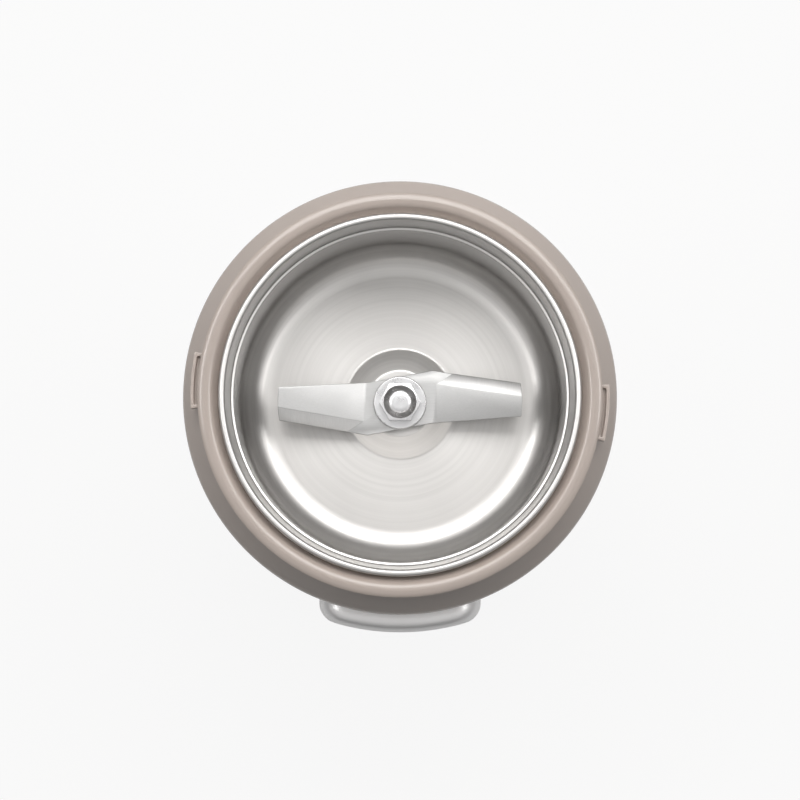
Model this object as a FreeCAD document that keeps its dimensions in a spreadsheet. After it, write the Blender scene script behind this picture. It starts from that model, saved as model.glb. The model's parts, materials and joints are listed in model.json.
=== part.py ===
import FreeCAD, Part
import Sketcher
import math
import os

# An electric spice grinder without its lid, standing upright. Millimetres and degrees. +Z is up, the front with its
# push button is towards -Y, and the origin is on the motor's axis at the surface that the rubber foot rests on.

os.makedirs("parts", exist_ok=True)
doc = FreeCAD.newDocument("SpiceGrinder")

# The driving sizes. Each is set once and can be changed by itself.
SIZES = {
    # body shell
    "rim_lift": 2.0,
    "rim_radius": 46.2,
    "rim_bevel": 1.0,
    "taper_top": 60.0,
    "wide_radius": 52.0,
    "shell_top": 134.0,
    "shoulder_drop": 6.4,
    "shoulder_width": 4.6,
    "shoulder_step": 0.2,
    "shoulder_bevel": 1.6,
    "shoulder_root": 1.0,
    "neck_height": 3.3,
    "shell_wall": 2.5,
    "deck_top": 84.0,
    "deck_thick": 2.5,
    "hub_outer": 15.5,
    "hub_wall": 3.5,
    "gusset_count": 8,
    "gusset_reach": 8.0,
    "gusset_drop": 12.0,
    "gusset_thick": 2.0,
    "post_radius": 4.5,
    "post_height": 26.0,
    "post_bite": 0.8,
    "overcut": 5.0,
    # collar that carries the bowl and locks the lid
    "collar_seat": 2.3,
    "collar_rise": 5.5,
    "ridge_width": 1.1,
    "ridge_rise": 0.55,
    "ridge_bevel": 0.4,
    "valley_width": 0.9,
    "valley_depth": 0.45,
    "ledge_drop": 2.1,
    "ledge_thick": 2.4,
    "ledge_root": 0.8,
    "spigot_wall": 1.9,
    "spigot_depth": 6.5,
    "spigot_slack": 0.1,
    "lug_reach": 2.2,
    "lug_length": 13.4,
    "lug_turn": -4.5,
    "lug_height": 4.2,
    "lug_drop": 0.9,
    "lug_rim": 0.9,
    "lug_pocket": 1.6,
    # bowl
    "lip_gap": 1.4,
    "lip_half": 0.8,
    "lip_bevel": 0.5,
    "hem_length": 2.9,
    "hem_hollow": 0.9,
    "bowl_sheet": 0.7,
    "bowl_depth": 46.0,
    "band_height": 8.4,
    "band_lean": 1.1,
    "step_width": 0.7,
    "step_height": 0.7,
    "bowl_corner": 8.0,
    "slope_shift": 0.3,
    "boss_radius": 8.5,
    "boss_foot": 14.0,
    "boss_rise": 2.2,
    "seal_radius": 5.2,
    "seal_flange": 1.3,
    "seal_under": 1.2,
    "seal_over": 0.9,
    "seal_clear": 0.1,
    "gasket_thick": 3.0,
    "gasket_width": 1.5,
    # shaft, blade and nut
    "shaft_radius": 3.0,
    "shaft_slack": 0.05,
    "shaft_tip": 2.5,
    "shaft_foot": 7.5,
    "blade_lift": 4.4,
    "blade_radius": 30.0,
    "blade_thick": 1.5,
    "blade_flat": 9.0,
    "blade_rise": 6.0,
    "blade_hub": 8.0,
    "blade_root": 5.0,
    "blade_lead": 4.6,
    "blade_trail": 3.6,
    "bevel_width": 3.2,
    "bevel_depth": 1.1,
    "spacer_radius": 5.6,
    "spacer_thick": 1.5,
    "washer_radius": 6.5,
    "washer_thick": 1.0,
    "nut_flats": 9.0,
    "nut_height": 4.0,
    "nut_dome": 1.6,
    "nut_land": 0.4,
    # motor
    "stack_low": 36.0,
    "stack_height": 24.0,
    "stator_length": 62.0,
    "stator_width": 54.0,
    "stator_corner": 8.0,
    "yoke_radius": 22.5,
    "pole_face": 15.6,
    "pole_shoe": 3.0,
    "pole_neck": 14.0,
    "pole_gap": 20.0,
    "pole_bite": 0.5,
    "coil_overhang": 6.5,
    "coil_slack": 0.3,
    "coil_width": 27.0,
    "armature_radius": 15.0,
    "slot_count": 12,
    "slot_width": 2.4,
    "slot_floor": 8.5,
    "winding_radius": 14.2,
    "winding_overhang": 6.0,
    "winding_bevel": 2.0,
    "winding_sink": 0.6,
    "winding_bite": 1.0,
    "commutator_radius": 11.0,
    "commutator_low": 17.0,
    "commutator_height": 11.0,
    "commutator_slit": 0.5,
    "slit_depth": 1.2,
    "fan_radius": 23.0,
    "fan_low": 67.5,
    "fan_height": 7.0,
    "fan_plate": 1.2,
    "fan_blades": 9,
    "fan_hub": 6.0,
    "fan_vane": 1.0,
    "fan_sweep": 6.0,
    "fan_margin": 2.0,
    "bracket_sheet": 2.0,
    "bracket_width": 24.0,
    "upper_plate_width": 40.0,
    "lower_bracket_low": 8.5,
    "lower_arm_width": 14.0,
    "bearing_radius": 7.0,
    "bearing_height": 7.0,
    "bearing_cup": 9.0,
    "motor_screw_spot": 27.0,
    "motor_screw_radius": 2.0,
    "motor_screw_head": 3.5,
    "motor_screw_head_height": 2.4,
    "motor_nut_height": 2.8,
    "motor_screw_end": 1.2,
    "bush_spot_across": 24.0,
    "bush_spot_along": 14.0,
    "bush_radius": 4.0,
    "bush_height": 3.0,
    "bush_screw_radius": 1.6,
    "deck_boss_radius": 4.0,
    "deck_boss_height": 5.0,
    # brushes
    "brush_width": 6.0,
    "brush_height": 7.0,
    "brush_length": 9.5,
    "brush_gap": 0.08,
    "brush_slack": 0.1,
    "brush_face": 1.0,
    "brush_spring_length": 4.6,
    "brush_spring_turns": 3,
    "holder_wall": 1.6,
    "holder_cap": 1.4,
    "holder_start": 2.4,
    "holder_foot": 8.0,
    # push button
    "button_width": 39.0,
    "button_height": 24.0,
    "button_drop": 5.6,
    "button_proud": 4.3,
    "button_corner": 6.0,
    "button_bevel": 3.0,
    "button_front": 6.0,
    "button_wall": 2.0,
    "button_slack": 0.3,
    "button_travel": 2.5,
    "flange_thick": 1.8,
    "flange_lap": 2.0,
    "flange_gap": 0.4,
    "stem_width": 34.0,
    "stem_thick": 2.0,
    "stem_inset": 6.6,
    "stem_clear": 2.5,
    "stem_bite": 0.5,
    "web_thick": 2.5,
    # return springs and switch
    "spring_spot": 13.5,
    "spring_radius": 2.9,
    "spring_wire": 0.7,
    "spring_turns": 4,
    "spring_post": 1.8,
    "spring_post_length": 2.2,
    "spring_length": 8.3,
    "spring_end_gap": 0.05,
    "switch_width": 19.0,
    "switch_depth": 12.0,
    "switch_height": 8.0,
    "switch_lift": 0.6,
    "switch_corner": 0.7,
    "plunger_width": 4.4,
    "plunger_height": 3.6,
    "plunger_reach": 5.4,
    "plunger_root": 3.2,
    "plunger_slack": 0.1,
    "plunger_gap": 0.1,
    "plunger_end_gap": 0.5,
    "terminal_width": 4.8,
    "terminal_thick": 0.8,
    "terminal_gap": 2.9,
    "cradle_sheet": 1.2,
    "cradle_lap": 7.5,
    "cradle_margin": 1.0,
    "cradle_screw_inset": 5.6,
    "ear_gap": 0.4,
    # base
    "foot_gap": 1.2,
    "foot_width": 5.0,
    "foot_proud": 2.5,
    "foot_sunk": 1.5,
    "foot_bevel": 0.8,
    "cover_thick": 3.0,
    "cover_slack": 0.25,
    "vent_count": 12,
    "vent_width": 2.6,
    "vent_start": 10.0,
    "vent_margin": 4.5,
    "screw_radius": 1.5,
    "screw_head": 2.8,
    "screw_head_height": 1.6,
    "screw_head_sunk": 0.3,
    "screw_head_slack": 0.2,
    "screw_end_gap": 0.5,
    "base_screw_bite": 12.0,
    "cord_height": 13.0,
    "grommet_radius": 4.5,
    "grommet_flange": 6.5,
    "grommet_plate": 2.0,
    "grommet_bore": 3.2,
    "grommet_bevel": 1.0,
}

# Heights and radii that follow from the driving sizes.
PLACES = {
    "wide_z": "size.shell_top - size.shoulder_drop",
    "inner_wall": "size.wide_radius - size.shell_wall",
    "collar": "size.wide_radius - size.shoulder_width",
    "neck": "place.collar - size.collar_seat",
    "spigot_out": "place.neck - size.spigot_slack",
    "spigot_in": "place.spigot_out - size.spigot_wall",
    "ridge_z": "size.shell_top + size.collar_rise",
    "crest_z": "place.ridge_z + size.ridge_rise",
    "valley_in": "place.collar - size.ridge_width - size.valley_width",
    "groove": "place.valley_in - size.ridge_width",
    "ledge_z": "place.ridge_z - size.ledge_drop",
    "lip": "place.groove - size.lip_gap",
    "hem_in": "place.lip - size.bowl_sheet",
    "lip_z": "place.ledge_z + size.hem_length",
    "lip_top": "place.lip_z + size.lip_half",
    "band_top": "place.lip - 2 * size.lip_half",
    "band_foot": "place.band_top - size.band_lean",
    "band_z": "place.lip_z - size.band_height + size.step_height",
    "wall_z": "place.band_z - size.step_height",
    "bowl_wall": "place.band_foot - size.step_width",
    "floor_z": "place.lip_top - size.bowl_depth",
    "boss_z": "place.floor_z + size.boss_rise",
    "under_z": "place.floor_z - size.bowl_sheet",
    "hub_top": "place.under_z - size.gasket_thick",
    "blade_z": "place.floor_z + size.blade_lift",
    "washer_z": "place.blade_z + size.blade_thick",
    "nut_z": "place.washer_z + size.washer_thick",
    "spacer_z": "place.blade_z - size.spacer_thick",
    "bore": "size.shaft_radius + size.shaft_slack",
    "stack_top": "size.stack_low + size.stack_height",
    "deck_under": "size.deck_top - size.deck_thick",
    "plate_top": "place.deck_under - size.bush_height",
    "plate_low": "place.plate_top - size.bracket_sheet",
    "bracket_half": "size.stator_length / 2 + size.bracket_sheet",
    "arm_top": "size.lower_bracket_low + size.bracket_sheet",
    "brush_z": "size.commutator_low + size.commutator_height / 2",
    "brush_start": "size.commutator_radius + size.brush_gap",
    "brush_end": "place.brush_start + size.brush_length",
    "holder_in": "size.commutator_radius + size.holder_start",
    "holder_end": "place.brush_end + size.brush_spring_length + size.holder_cap",
    "button_top": "place.wide_z - size.button_drop",
    "button_low": "place.button_top - size.button_height",
    "stem_back": "place.inner_wall - size.stem_inset",
    "stem_front": "place.stem_back + size.stem_thick",
    "stem_low": "size.deck_top + size.stem_clear",
    "switch_low": "size.deck_top + size.cradle_sheet",
    "switch_z": "place.switch_low + size.switch_height / 2 + size.switch_lift",
    "switch_front": "place.stem_back - size.plunger_gap - size.plunger_reach",
    "switch_back": "place.switch_front - size.switch_depth",
    "terminal_end": "size.hub_outer + size.terminal_gap",
    "spring_seat": "place.stem_back - size.spring_length",
    "cradle_screw_back": "place.spring_seat - size.cradle_screw_inset",
    "cover_low": "size.foot_proud",
    "cover_top": "place.cover_low + size.cover_thick",
    "cover_edge": "size.rim_radius - size.shell_wall - size.cover_slack",
    "post_ring": "size.rim_radius - size.shell_wall - size.post_radius + size.post_bite",
    "base_screw_z": "place.cover_low + size.screw_head_sunk",
    "base_seat_z": "place.base_screw_z + size.screw_head_height",
    "foot_top": "size.foot_proud + size.foot_sunk",
    "foot_outer": "place.post_ring - size.screw_head - size.foot_gap",
    "foot_inner": "place.foot_outer - size.foot_width",
    "vent_end": "place.foot_inner - size.vent_margin",
}


def fill(sheet, rows, mark=""):
    for row, (word, entry) in enumerate(rows.items(), 1):
        sheet.set("A%d" % row, word)
        sheet.set("B%d" % row, mark + str(entry))
        sheet.setAlias("B%d" % row, word)


sizes = doc.addObject("Spreadsheet::Sheet", "size")
fill(sizes, SIZES)
doc.recompute()
places = doc.addObject("Spreadsheet::Sheet", "place")
fill(places, {word: text.replace("place.", "") for word, text in PLACES.items()}, "=")
doc.recompute()


def number(text):
    """The present value of a formula over the two sheets."""
    found = sizes.evalExpression(text)
    return float(getattr(found, "Value", found))


def new_body(label):
    body = doc.addObject("PartDesign::Body", label.title().replace("_", ""))
    body.Label = label
    return body


def sketch(body, name, plane="XY_Plane", lift=None, raised=None):
    """A sketch on one of the body's own origin planes: lift moves it along the plane's normal, raised along its own y."""
    made = body.newObject("Sketcher::SketchObject", body.Name + name)
    origin = {item.Role: item for item in body.Origin.OriginFeatures}
    made.AttachmentSupport = [(origin[plane], "")]
    made.MapMode = "FlatFace"
    if lift:
        made.setExpression(".AttachmentOffset.Base.z", lift)
    if raised:
        made.setExpression(".AttachmentOffset.Base.y", raised)
    return made


def bind(made, constraint, text):
    made.setExpression("Constraints[%d]" % made.addConstraint(constraint), text)


def pin(made, item, end, x, y):
    bind(made, Sketcher.Constraint("DistanceX", -1, 1, item, end, number(x)), x)
    bind(made, Sketcher.Constraint("DistanceY", -1, 1, item, end, number(y)), y)


def arc_between(start, end, radius, side):
    """The shorter arc between two points: side 1 bulges to the left of the way from start to end, -1 to the right."""
    chord = end.sub(start)
    half = chord.Length / 2
    left = FreeCAD.Vector(-chord.y, chord.x, 0).normalize()
    inward = math.sqrt(max(radius * radius - half * half, 0.0))
    centre = start.add(end).multiply(0.5).add(left.multiply(-side * inward))
    first, last = (start, end) if side < 0 else (end, start)
    angles = [math.atan2(spot.y - centre.y, spot.x - centre.x) for spot in (first, last)]
    return Part.ArcOfCircle(Part.Circle(centre, FreeCAD.Vector(0, 0, 1), radius), *angles)


def outline(made, corners):
    """A closed run of lines and arcs. A corner is (x, y), or (x, y, radius, side) where an arc leads to the next, with
    the word "half" in place of the radius for half a circle."""
    first = made.GeometryCount
    count = len(corners)
    spots = [FreeCAD.Vector(number(c[0]), number(c[1]), 0) for c in corners]
    ends = []
    for i, corner in enumerate(corners):
        start, end = spots[i], spots[(i + 1) % count]
        if len(corner) == 2:
            made.addGeometry(Part.LineSegment(start, end))
            ends.append((1, 2))
            continue
        radius = start.distanceToPoint(end) / 2 if corner[2] == "half" else number(corner[2])
        made.addGeometry(arc_between(start, end, radius, corner[3]))
        ends.append((1, 2) if corner[3] < 0 else (2, 1))
    for i, corner in enumerate(corners):
        after = (i + 1) % count
        made.addConstraint(Sketcher.Constraint("Coincident", first + i, ends[i][1], first + after, ends[after][0]))
        pin(made, first + i, ends[i][0], corner[0], corner[1])
        if len(corner) > 2 and corner[2] != "half":
            bind(made, Sketcher.Constraint("Radius", first + i, number(corner[2])), corner[2])
        elif len(corner) > 2:
            level = abs(spots[after].x - spots[i].x) > abs(spots[after].y - spots[i].y)
            middle = "((%s) + (%s)) / 2" % (corner[level], corners[after][level])
            way = "DistanceY" if level else "DistanceX"
            bind(made, Sketcher.Constraint(way, -1, 1, first + i, 3, number(middle)), middle)


def circle(made, x, y, radius):
    centre = FreeCAD.Vector(number(x), number(y), 0)
    item = made.addGeometry(Part.Circle(centre, FreeCAD.Vector(0, 0, 1), number(radius)))
    pin(made, item, 3, x, y)
    bind(made, Sketcher.Constraint("Radius", item, number(radius)), radius)


def block(made, left, low, right, high):
    outline(made, [(left, low), (right, low), (right, high), (left, high)])


def feature(body, kind, name, made=None):
    """A new feature at the body's tip, from a sketch where it has one."""
    doc.recompute()
    new = body.newObject("PartDesign::" + kind, body.Name + name)
    if made:
        new.Profile = made
    body.Tip = new
    return new


def pad(body, made, length, name="Pad", middle=False, flip=False):
    new = feature(body, "Pad", name, made)
    new.setExpression("Length", length)
    new.SideType = "Symmetric" if middle else "One side"
    new.Reversed = flip
    return new


def pocket(body, made, depth, name="Pocket", middle=False, flip=False):
    new = feature(body, "Pocket", name, made)
    before = new.BaseFeature.Shape.Volume
    new.setExpression("Length", depth)
    new.SideType = "Symmetric" if middle else "One side"
    new.Reversed = flip
    doc.recompute()
    if new.Shape.Volume > before - 1e-6:
        raise ValueError(new.Name + " cuts nothing")
    return new


def turn(body, made, name="Turn", axis="V_Axis"):
    new = feature(body, "Revolution", name, made)
    new.ReferenceAxis = (made, [axis])
    new.Angle = 360
    return new


def around(body, originals, count, name="Ring"):
    """Copies of features, evenly spaced about the motor's axis."""
    new = feature(body, "PolarPattern", name)
    axis = {item.Role: item for item in body.Origin.OriginFeatures}["Z_Axis"]
    new.Originals = originals
    new.Axis = (axis, [""])
    new.Angle = 360
    new.setExpression("Occurrences", count)
    body.Tip = new
    return new


def chamfer(body, name, wanted, size):
    """A chamfer on the edges of the body's tip that a test picks."""
    doc.recompute()
    base = body.Tip
    edges = ["Edge%d" % i for i, edge in enumerate(base.Shape.Edges, 1) if wanted(edge)]
    if not edges:
        raise ValueError("%s finds no edge for %s" % (body.Name, name))
    new = feature(body, "Chamfer", name)
    new.Base = (base, edges)
    new.setExpression("Size", size)
    return new


def ring_edge(*spots):
    """A test for whole or part circles about the motor's axis at given radii and heights."""
    wanted = [(number(radius), number(height)) for radius, height in spots]

    def test(edge):
        if not isinstance(edge.Curve, Part.Circle) or abs(edge.Curve.Axis.z) < 0.999:
            return False
        centre = edge.Curve.Center
        return math.hypot(centre.x, centre.y) < 1e-4 and any(
            abs(edge.Curve.Radius - radius) < 1e-3 and abs(centre.z - height) < 1e-3 for radius, height in wanted
        )

    return test


def upright(edge):
    """A test for straight edges that stand upright."""
    return isinstance(edge.Curve, Part.Line) and abs(abs(edge.Curve.Direction.z) - 1) < 1e-6


def turned(label, corners):
    """A piece of one revolved outline about the motor's axis, each corner as (radius, height)."""
    body = new_body(label)
    made = sketch(body, "Profile", "XZ_Plane")
    outline(made, corners)
    turn(body, made)
    return body


def tube(label, inner, outer, low, high):
    return turned(label, [(inner, low), (outer, low), (outer, high), (inner, high)])


def fasteners(label, spots, head, head_low, head_tall, shank, shank_low, shank_tall):
    """Like screws, one at each (x, y): a round head and a plain shank each."""
    body = new_body(label)
    heads = sketch(body, "Heads", lift=head_low)
    shanks = sketch(body, "Shanks", lift=shank_low)
    for x, y in spots:
        circle(heads, x, y, head)
        circle(shanks, x, y, shank)
    pad(body, heads, head_tall, "Head")
    pad(body, shanks, shank_tall, "Shank")
    return body


def four_ways(across, along):
    """The four corners of a rectangle about the axis, as formulas."""
    return [(a + across, b + along) for a in ("", "-") for b in ("", "-")]


def taper_radius(height):
    """The outer radius of the tapered lower wall at a height."""
    slope = "(size.wide_radius - size.rim_radius) / (size.taper_top - size.rim_lift)"
    return "(size.rim_radius + (%s - size.rim_lift) * %s)" % (height, slope)


# Where the base screws and the motor's rubber bushes are.
BASE_SPOTS = four_ways("place.post_ring * cos(45)", "place.post_ring * cos(45)")
BUSH_SPOTS = four_ways("size.bush_spot_across", "size.bush_spot_along")
CRADLE_SPOTS = [("size.spring_spot", "-place.cradle_screw_back"), ("-size.spring_spot", "-place.cradle_screw_back")]
MOTOR_SPOTS = [("size.motor_screw_spot", "0"), ("-size.motor_screw_spot", "0")]


def body_shell():
    """The moulded housing: a straight wall on a tapered foot, a steep shoulder, and a ribbed deck for the motor."""
    body = new_body("body_shell")
    wall = sketch(body, "Wall", "XZ_Plane")
    outline(wall, [
        ("size.rim_radius", "size.rim_lift"),
        ("size.wide_radius", "size.taper_top"),
        ("size.wide_radius", "place.wide_z"),
        ("place.collar + size.shoulder_step", "size.shell_top"),
        ("place.neck", "size.shell_top"),
        ("place.neck", "size.shell_top - size.neck_height"),
        ("place.inner_wall", "place.wide_z - size.shoulder_root"),
        ("place.inner_wall", "size.taper_top"),
        ("size.rim_radius - size.shell_wall", "size.rim_lift"),
    ])
    turn(body, wall)
    chamfer(body, "Shoulder", ring_edge(("size.wide_radius", "place.wide_z")), "size.shoulder_bevel")
    chamfer(body, "Rim", ring_edge(("size.rim_radius", "size.rim_lift")), "size.rim_bevel")

    deck = sketch(body, "Deck", lift="place.deck_under")
    circle(deck, "0", "0", "place.inner_wall + size.shell_wall / 2")
    pad(body, deck, "size.deck_thick", "DeckPad")
    inside_deck = "size.deck_top - size.deck_thick / 2"
    hub = sketch(body, "Hub", lift=inside_deck)
    circle(hub, "0", "0", "size.hub_outer")
    pad(body, hub, "place.hub_top - (%s)" % inside_deck, "HubPad")
    bosses = sketch(body, "Bosses", lift=inside_deck)
    for x, y in BUSH_SPOTS:
        circle(bosses, x, y, "size.deck_boss_radius")
    pad(body, bosses, "size.deck_boss_height + size.deck_thick / 2", "BossPad")
    feet = sketch(body, "CradleBosses", lift=inside_deck)
    for x, y in CRADLE_SPOTS:
        circle(feet, x, y, "size.deck_boss_radius")
    pad(body, feet, "size.deck_boss_height + size.deck_thick / 2", "CradleBossPad", flip=True)

    gusset = sketch(body, "Gusset", "XZ_Plane")
    reach = "place.inner_wall + size.shell_wall / 2"
    outline(gusset, [
        ("place.inner_wall - size.gusset_reach", "place.deck_under + size.deck_thick / 2"),
        ("place.inner_wall", "place.deck_under - size.gusset_drop"),
        (reach, "place.deck_under - size.gusset_drop"),
        (reach, "place.deck_under + size.deck_thick / 2"),
    ])
    rib = pad(body, gusset, "size.gusset_thick", "GussetPad", middle=True)
    around(body, [rib], "size.gusset_count", "Gussets")

    posts = sketch(body, "Posts", lift="place.cover_top")
    for x, y in BASE_SPOTS:
        circle(posts, x, y, "size.post_radius")
    pad(body, posts, "size.post_height", "PostPad")

    bore = sketch(body, "HubBore", lift="place.hub_top")
    circle(bore, "0", "0", "size.hub_outer - size.hub_wall")
    pocket(body, bore, "place.hub_top - place.deck_under", "HubCut")
    pilots = sketch(body, "Pilots", lift="place.cover_top")
    for x, y in BASE_SPOTS:
        circle(pilots, x, y, "size.screw_radius")
    pocket(body, pilots, "size.base_screw_bite + size.screw_end_gap", "PilotCut", flip=True)
    mounts = sketch(body, "BushHoles", lift="place.deck_under")
    for x, y in BUSH_SPOTS:
        circle(mounts, x, y, "size.bush_screw_radius")
    pocket(body, mounts, "size.deck_boss_height", "BushCut", flip=True)
    screws = sketch(body, "CradleHoles", lift="size.deck_top")
    for x, y in CRADLE_SPOTS:
        circle(screws, x, y, "size.screw_radius")
    pocket(body, screws, "size.deck_boss_height", "CradleCut")

    window = sketch(body, "Window", "XZ_Plane")
    half = "(size.button_width / 2 + size.button_slack)"
    low = "place.button_low - size.button_slack"
    high = "place.button_top + size.button_slack"
    curve = "(size.button_corner + size.button_slack)"
    rounded(window, "-" + half, low, half, high, curve)
    pocket(body, window, "size.wide_radius + size.overcut", "WindowCut", flip=True)
    cord = sketch(body, "CordHole", "XZ_Plane")
    circle(cord, "0", "size.cord_height", "size.grommet_radius")
    pocket(body, cord, "size.wide_radius + size.overcut", "CordCut")
    return body


def rounded(made, left, low, right, high, curve):
    """A rectangle with four round corners."""
    outline(made, [
        ("%s + %s" % (left, curve), low),
        ("%s - %s" % (right, curve), low, curve, -1),
        (right, "%s + %s" % (low, curve)),
        (right, "%s - %s" % (high, curve), curve, -1),
        ("%s - %s" % (right, curve), high),
        ("%s + %s" % (left, curve), high, curve, -1),
        (left, "%s - %s" % (high, curve)),
        (left, "%s + %s" % (low, curve), curve, -1),
    ])


def top_collar():
    """The ring that carries the bowl: two ridges with a valley between, and two cored lugs for the lid."""
    body = new_body("top_collar")
    ring = sketch(body, "Profile", "XZ_Plane")
    outline(ring, [
        ("place.spigot_in", "size.shell_top - size.spigot_depth"),
        ("place.spigot_out", "size.shell_top - size.spigot_depth"),
        ("place.spigot_out", "size.shell_top"),
        ("place.collar", "size.shell_top"),
        ("place.collar", "place.ridge_z"),
        ("place.collar - size.ridge_bevel", "place.crest_z"),
        ("place.collar - size.ridge_width + size.ridge_bevel", "place.crest_z"),
        ("place.valley_in + size.valley_width / 2", "place.ridge_z - size.valley_depth"),
        ("place.valley_in - size.ridge_bevel", "place.crest_z"),
        ("place.groove + size.ridge_bevel", "place.crest_z"),
        ("place.groove", "place.ridge_z"),
        ("place.groove", "place.ledge_z"),
        ("place.hem_in", "place.ledge_z"),
        ("place.hem_in", "place.ledge_z - size.ledge_thick"),
        ("place.spigot_in", "place.ledge_z - size.ledge_thick - size.ledge_root"),
    ])
    turn(body, ring)
    half = "(asin(size.lug_length / 2 / place.collar))"
    middle = "(size.lug_turn * 1 deg)"
    lugs = sketch(body, "Lug", lift="place.ridge_z - size.lug_drop")
    sector(lugs, "place.collar - size.ridge_width / 2", "place.collar + size.lug_reach", middle, half)
    lug = pad(body, lugs, "size.lug_height", "LugPad", flip=True)
    around(body, [lug], "2", "Lugs")
    core = sketch(body, "LugCore", lift="place.ridge_z - size.lug_drop")
    inset = "(%s - asin(size.lug_rim / place.collar))" % half
    sector(core, "place.collar", "place.collar + size.lug_reach - size.lug_rim", middle, inset)
    hollow = pocket(body, core, "size.lug_pocket", "LugCoreCut")
    around(body, [hollow], "2", "LugCores")
    return body


def sector(made, inner, outer, middle, half):
    """Part of a ring about the axis, from middle - half to middle + half degrees."""
    start, end = "(%s - %s)" % (middle, half), "(%s + %s)" % (middle, half)
    inner, outer = "(%s)" % inner, "(%s)" % outer
    outline(made, [
        ("%s * cos%s" % (inner, start), "%s * sin%s" % (inner, start)),
        ("%s * cos%s" % (outer, start), "%s * sin%s" % (outer, start), outer, -1),
        ("%s * cos%s" % (outer, end), "%s * sin%s" % (outer, end)),
        ("%s * cos%s" % (inner, end), "%s * sin%s" % (inner, end), inner, 1),
    ])


def bowl():
    """The drawn steel bowl: a hem rolled over the collar's ledge, a stepped band, a round corner and a raised boss."""

    def corner(radius):
        """The round corner between wall and floor, in three steps, from the wall's side to the floor's."""
        return [
            ("place.bowl_wall - size.bowl_corner + %s * cos(%d)" % (radius, angle),
             "place.floor_z + size.bowl_corner - %s * sin(%d)" % (radius, angle))
            for angle in (0, 30, 60, 90)
        ]

    boss_under = "place.boss_z - size.bowl_sheet"
    return turned("bowl", [
        ("size.seal_radius", "place.boss_z"),
        ("size.seal_radius", boss_under),
        ("size.boss_radius", boss_under),
        ("size.boss_foot", "place.under_z"),
        *reversed(corner("(size.bowl_corner + size.bowl_sheet)")),
        ("place.bowl_wall + size.bowl_sheet", "place.wall_z - size.slope_shift"),
        ("place.band_foot + size.bowl_sheet", "place.band_z - size.slope_shift"),
        ("place.band_top + size.bowl_sheet / 2", "place.lip_z - size.hem_hollow"),
        ("place.hem_in", "place.lip_z - size.hem_hollow"),
        ("place.hem_in", "place.ledge_z"),
        ("place.lip", "place.ledge_z"),
        ("place.lip", "place.lip_z"),
        ("place.lip - size.lip_bevel", "place.lip_top"),
        ("place.band_top + size.lip_bevel", "place.lip_top"),
        ("place.band_top", "place.lip_z"),
        ("place.band_foot", "place.band_z"),
        ("place.bowl_wall", "place.wall_z"),
        *corner("size.bowl_corner"),
        ("size.boss_foot - size.slope_shift", "place.floor_z"),
        ("size.boss_radius - size.slope_shift", "place.boss_z"),
    ])


def bowl_gasket():
    """Rubber ring between the deck's hub and the bowl's floor."""
    return tube("bowl_gasket", "size.hub_outer - size.gasket_width", "size.hub_outer", "place.hub_top", "place.under_z")


def shaft_seal():
    """Rubber seal in the bowl's boss, with a flange under the sheet and a cone above it."""
    low = "place.boss_z - size.bowl_sheet"
    return turned("shaft_seal", [
        ("place.bore", low + " - size.seal_flange"),
        ("size.seal_radius + size.seal_under", low + " - size.seal_flange"),
        ("size.seal_radius + size.seal_under", low),
        ("size.seal_radius", low),
        ("size.seal_radius", "place.boss_z"),
        ("size.seal_radius + size.seal_over", "place.boss_z"),
        ("place.bore", "place.spacer_z - size.seal_clear"),
    ])


def motor_shaft():
    """Steel shaft with a thinner end that passes through the blade."""
    return turned("motor_shaft", [
        ("0", "size.shaft_foot"),
        ("size.shaft_radius", "size.shaft_foot"),
        ("size.shaft_radius", "place.blade_z"),
        ("size.shaft_tip", "place.blade_z"),
        ("size.shaft_tip", "place.nut_z + size.nut_height"),
        ("0", "place.nut_z + size.nut_height"),
    ])


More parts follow.
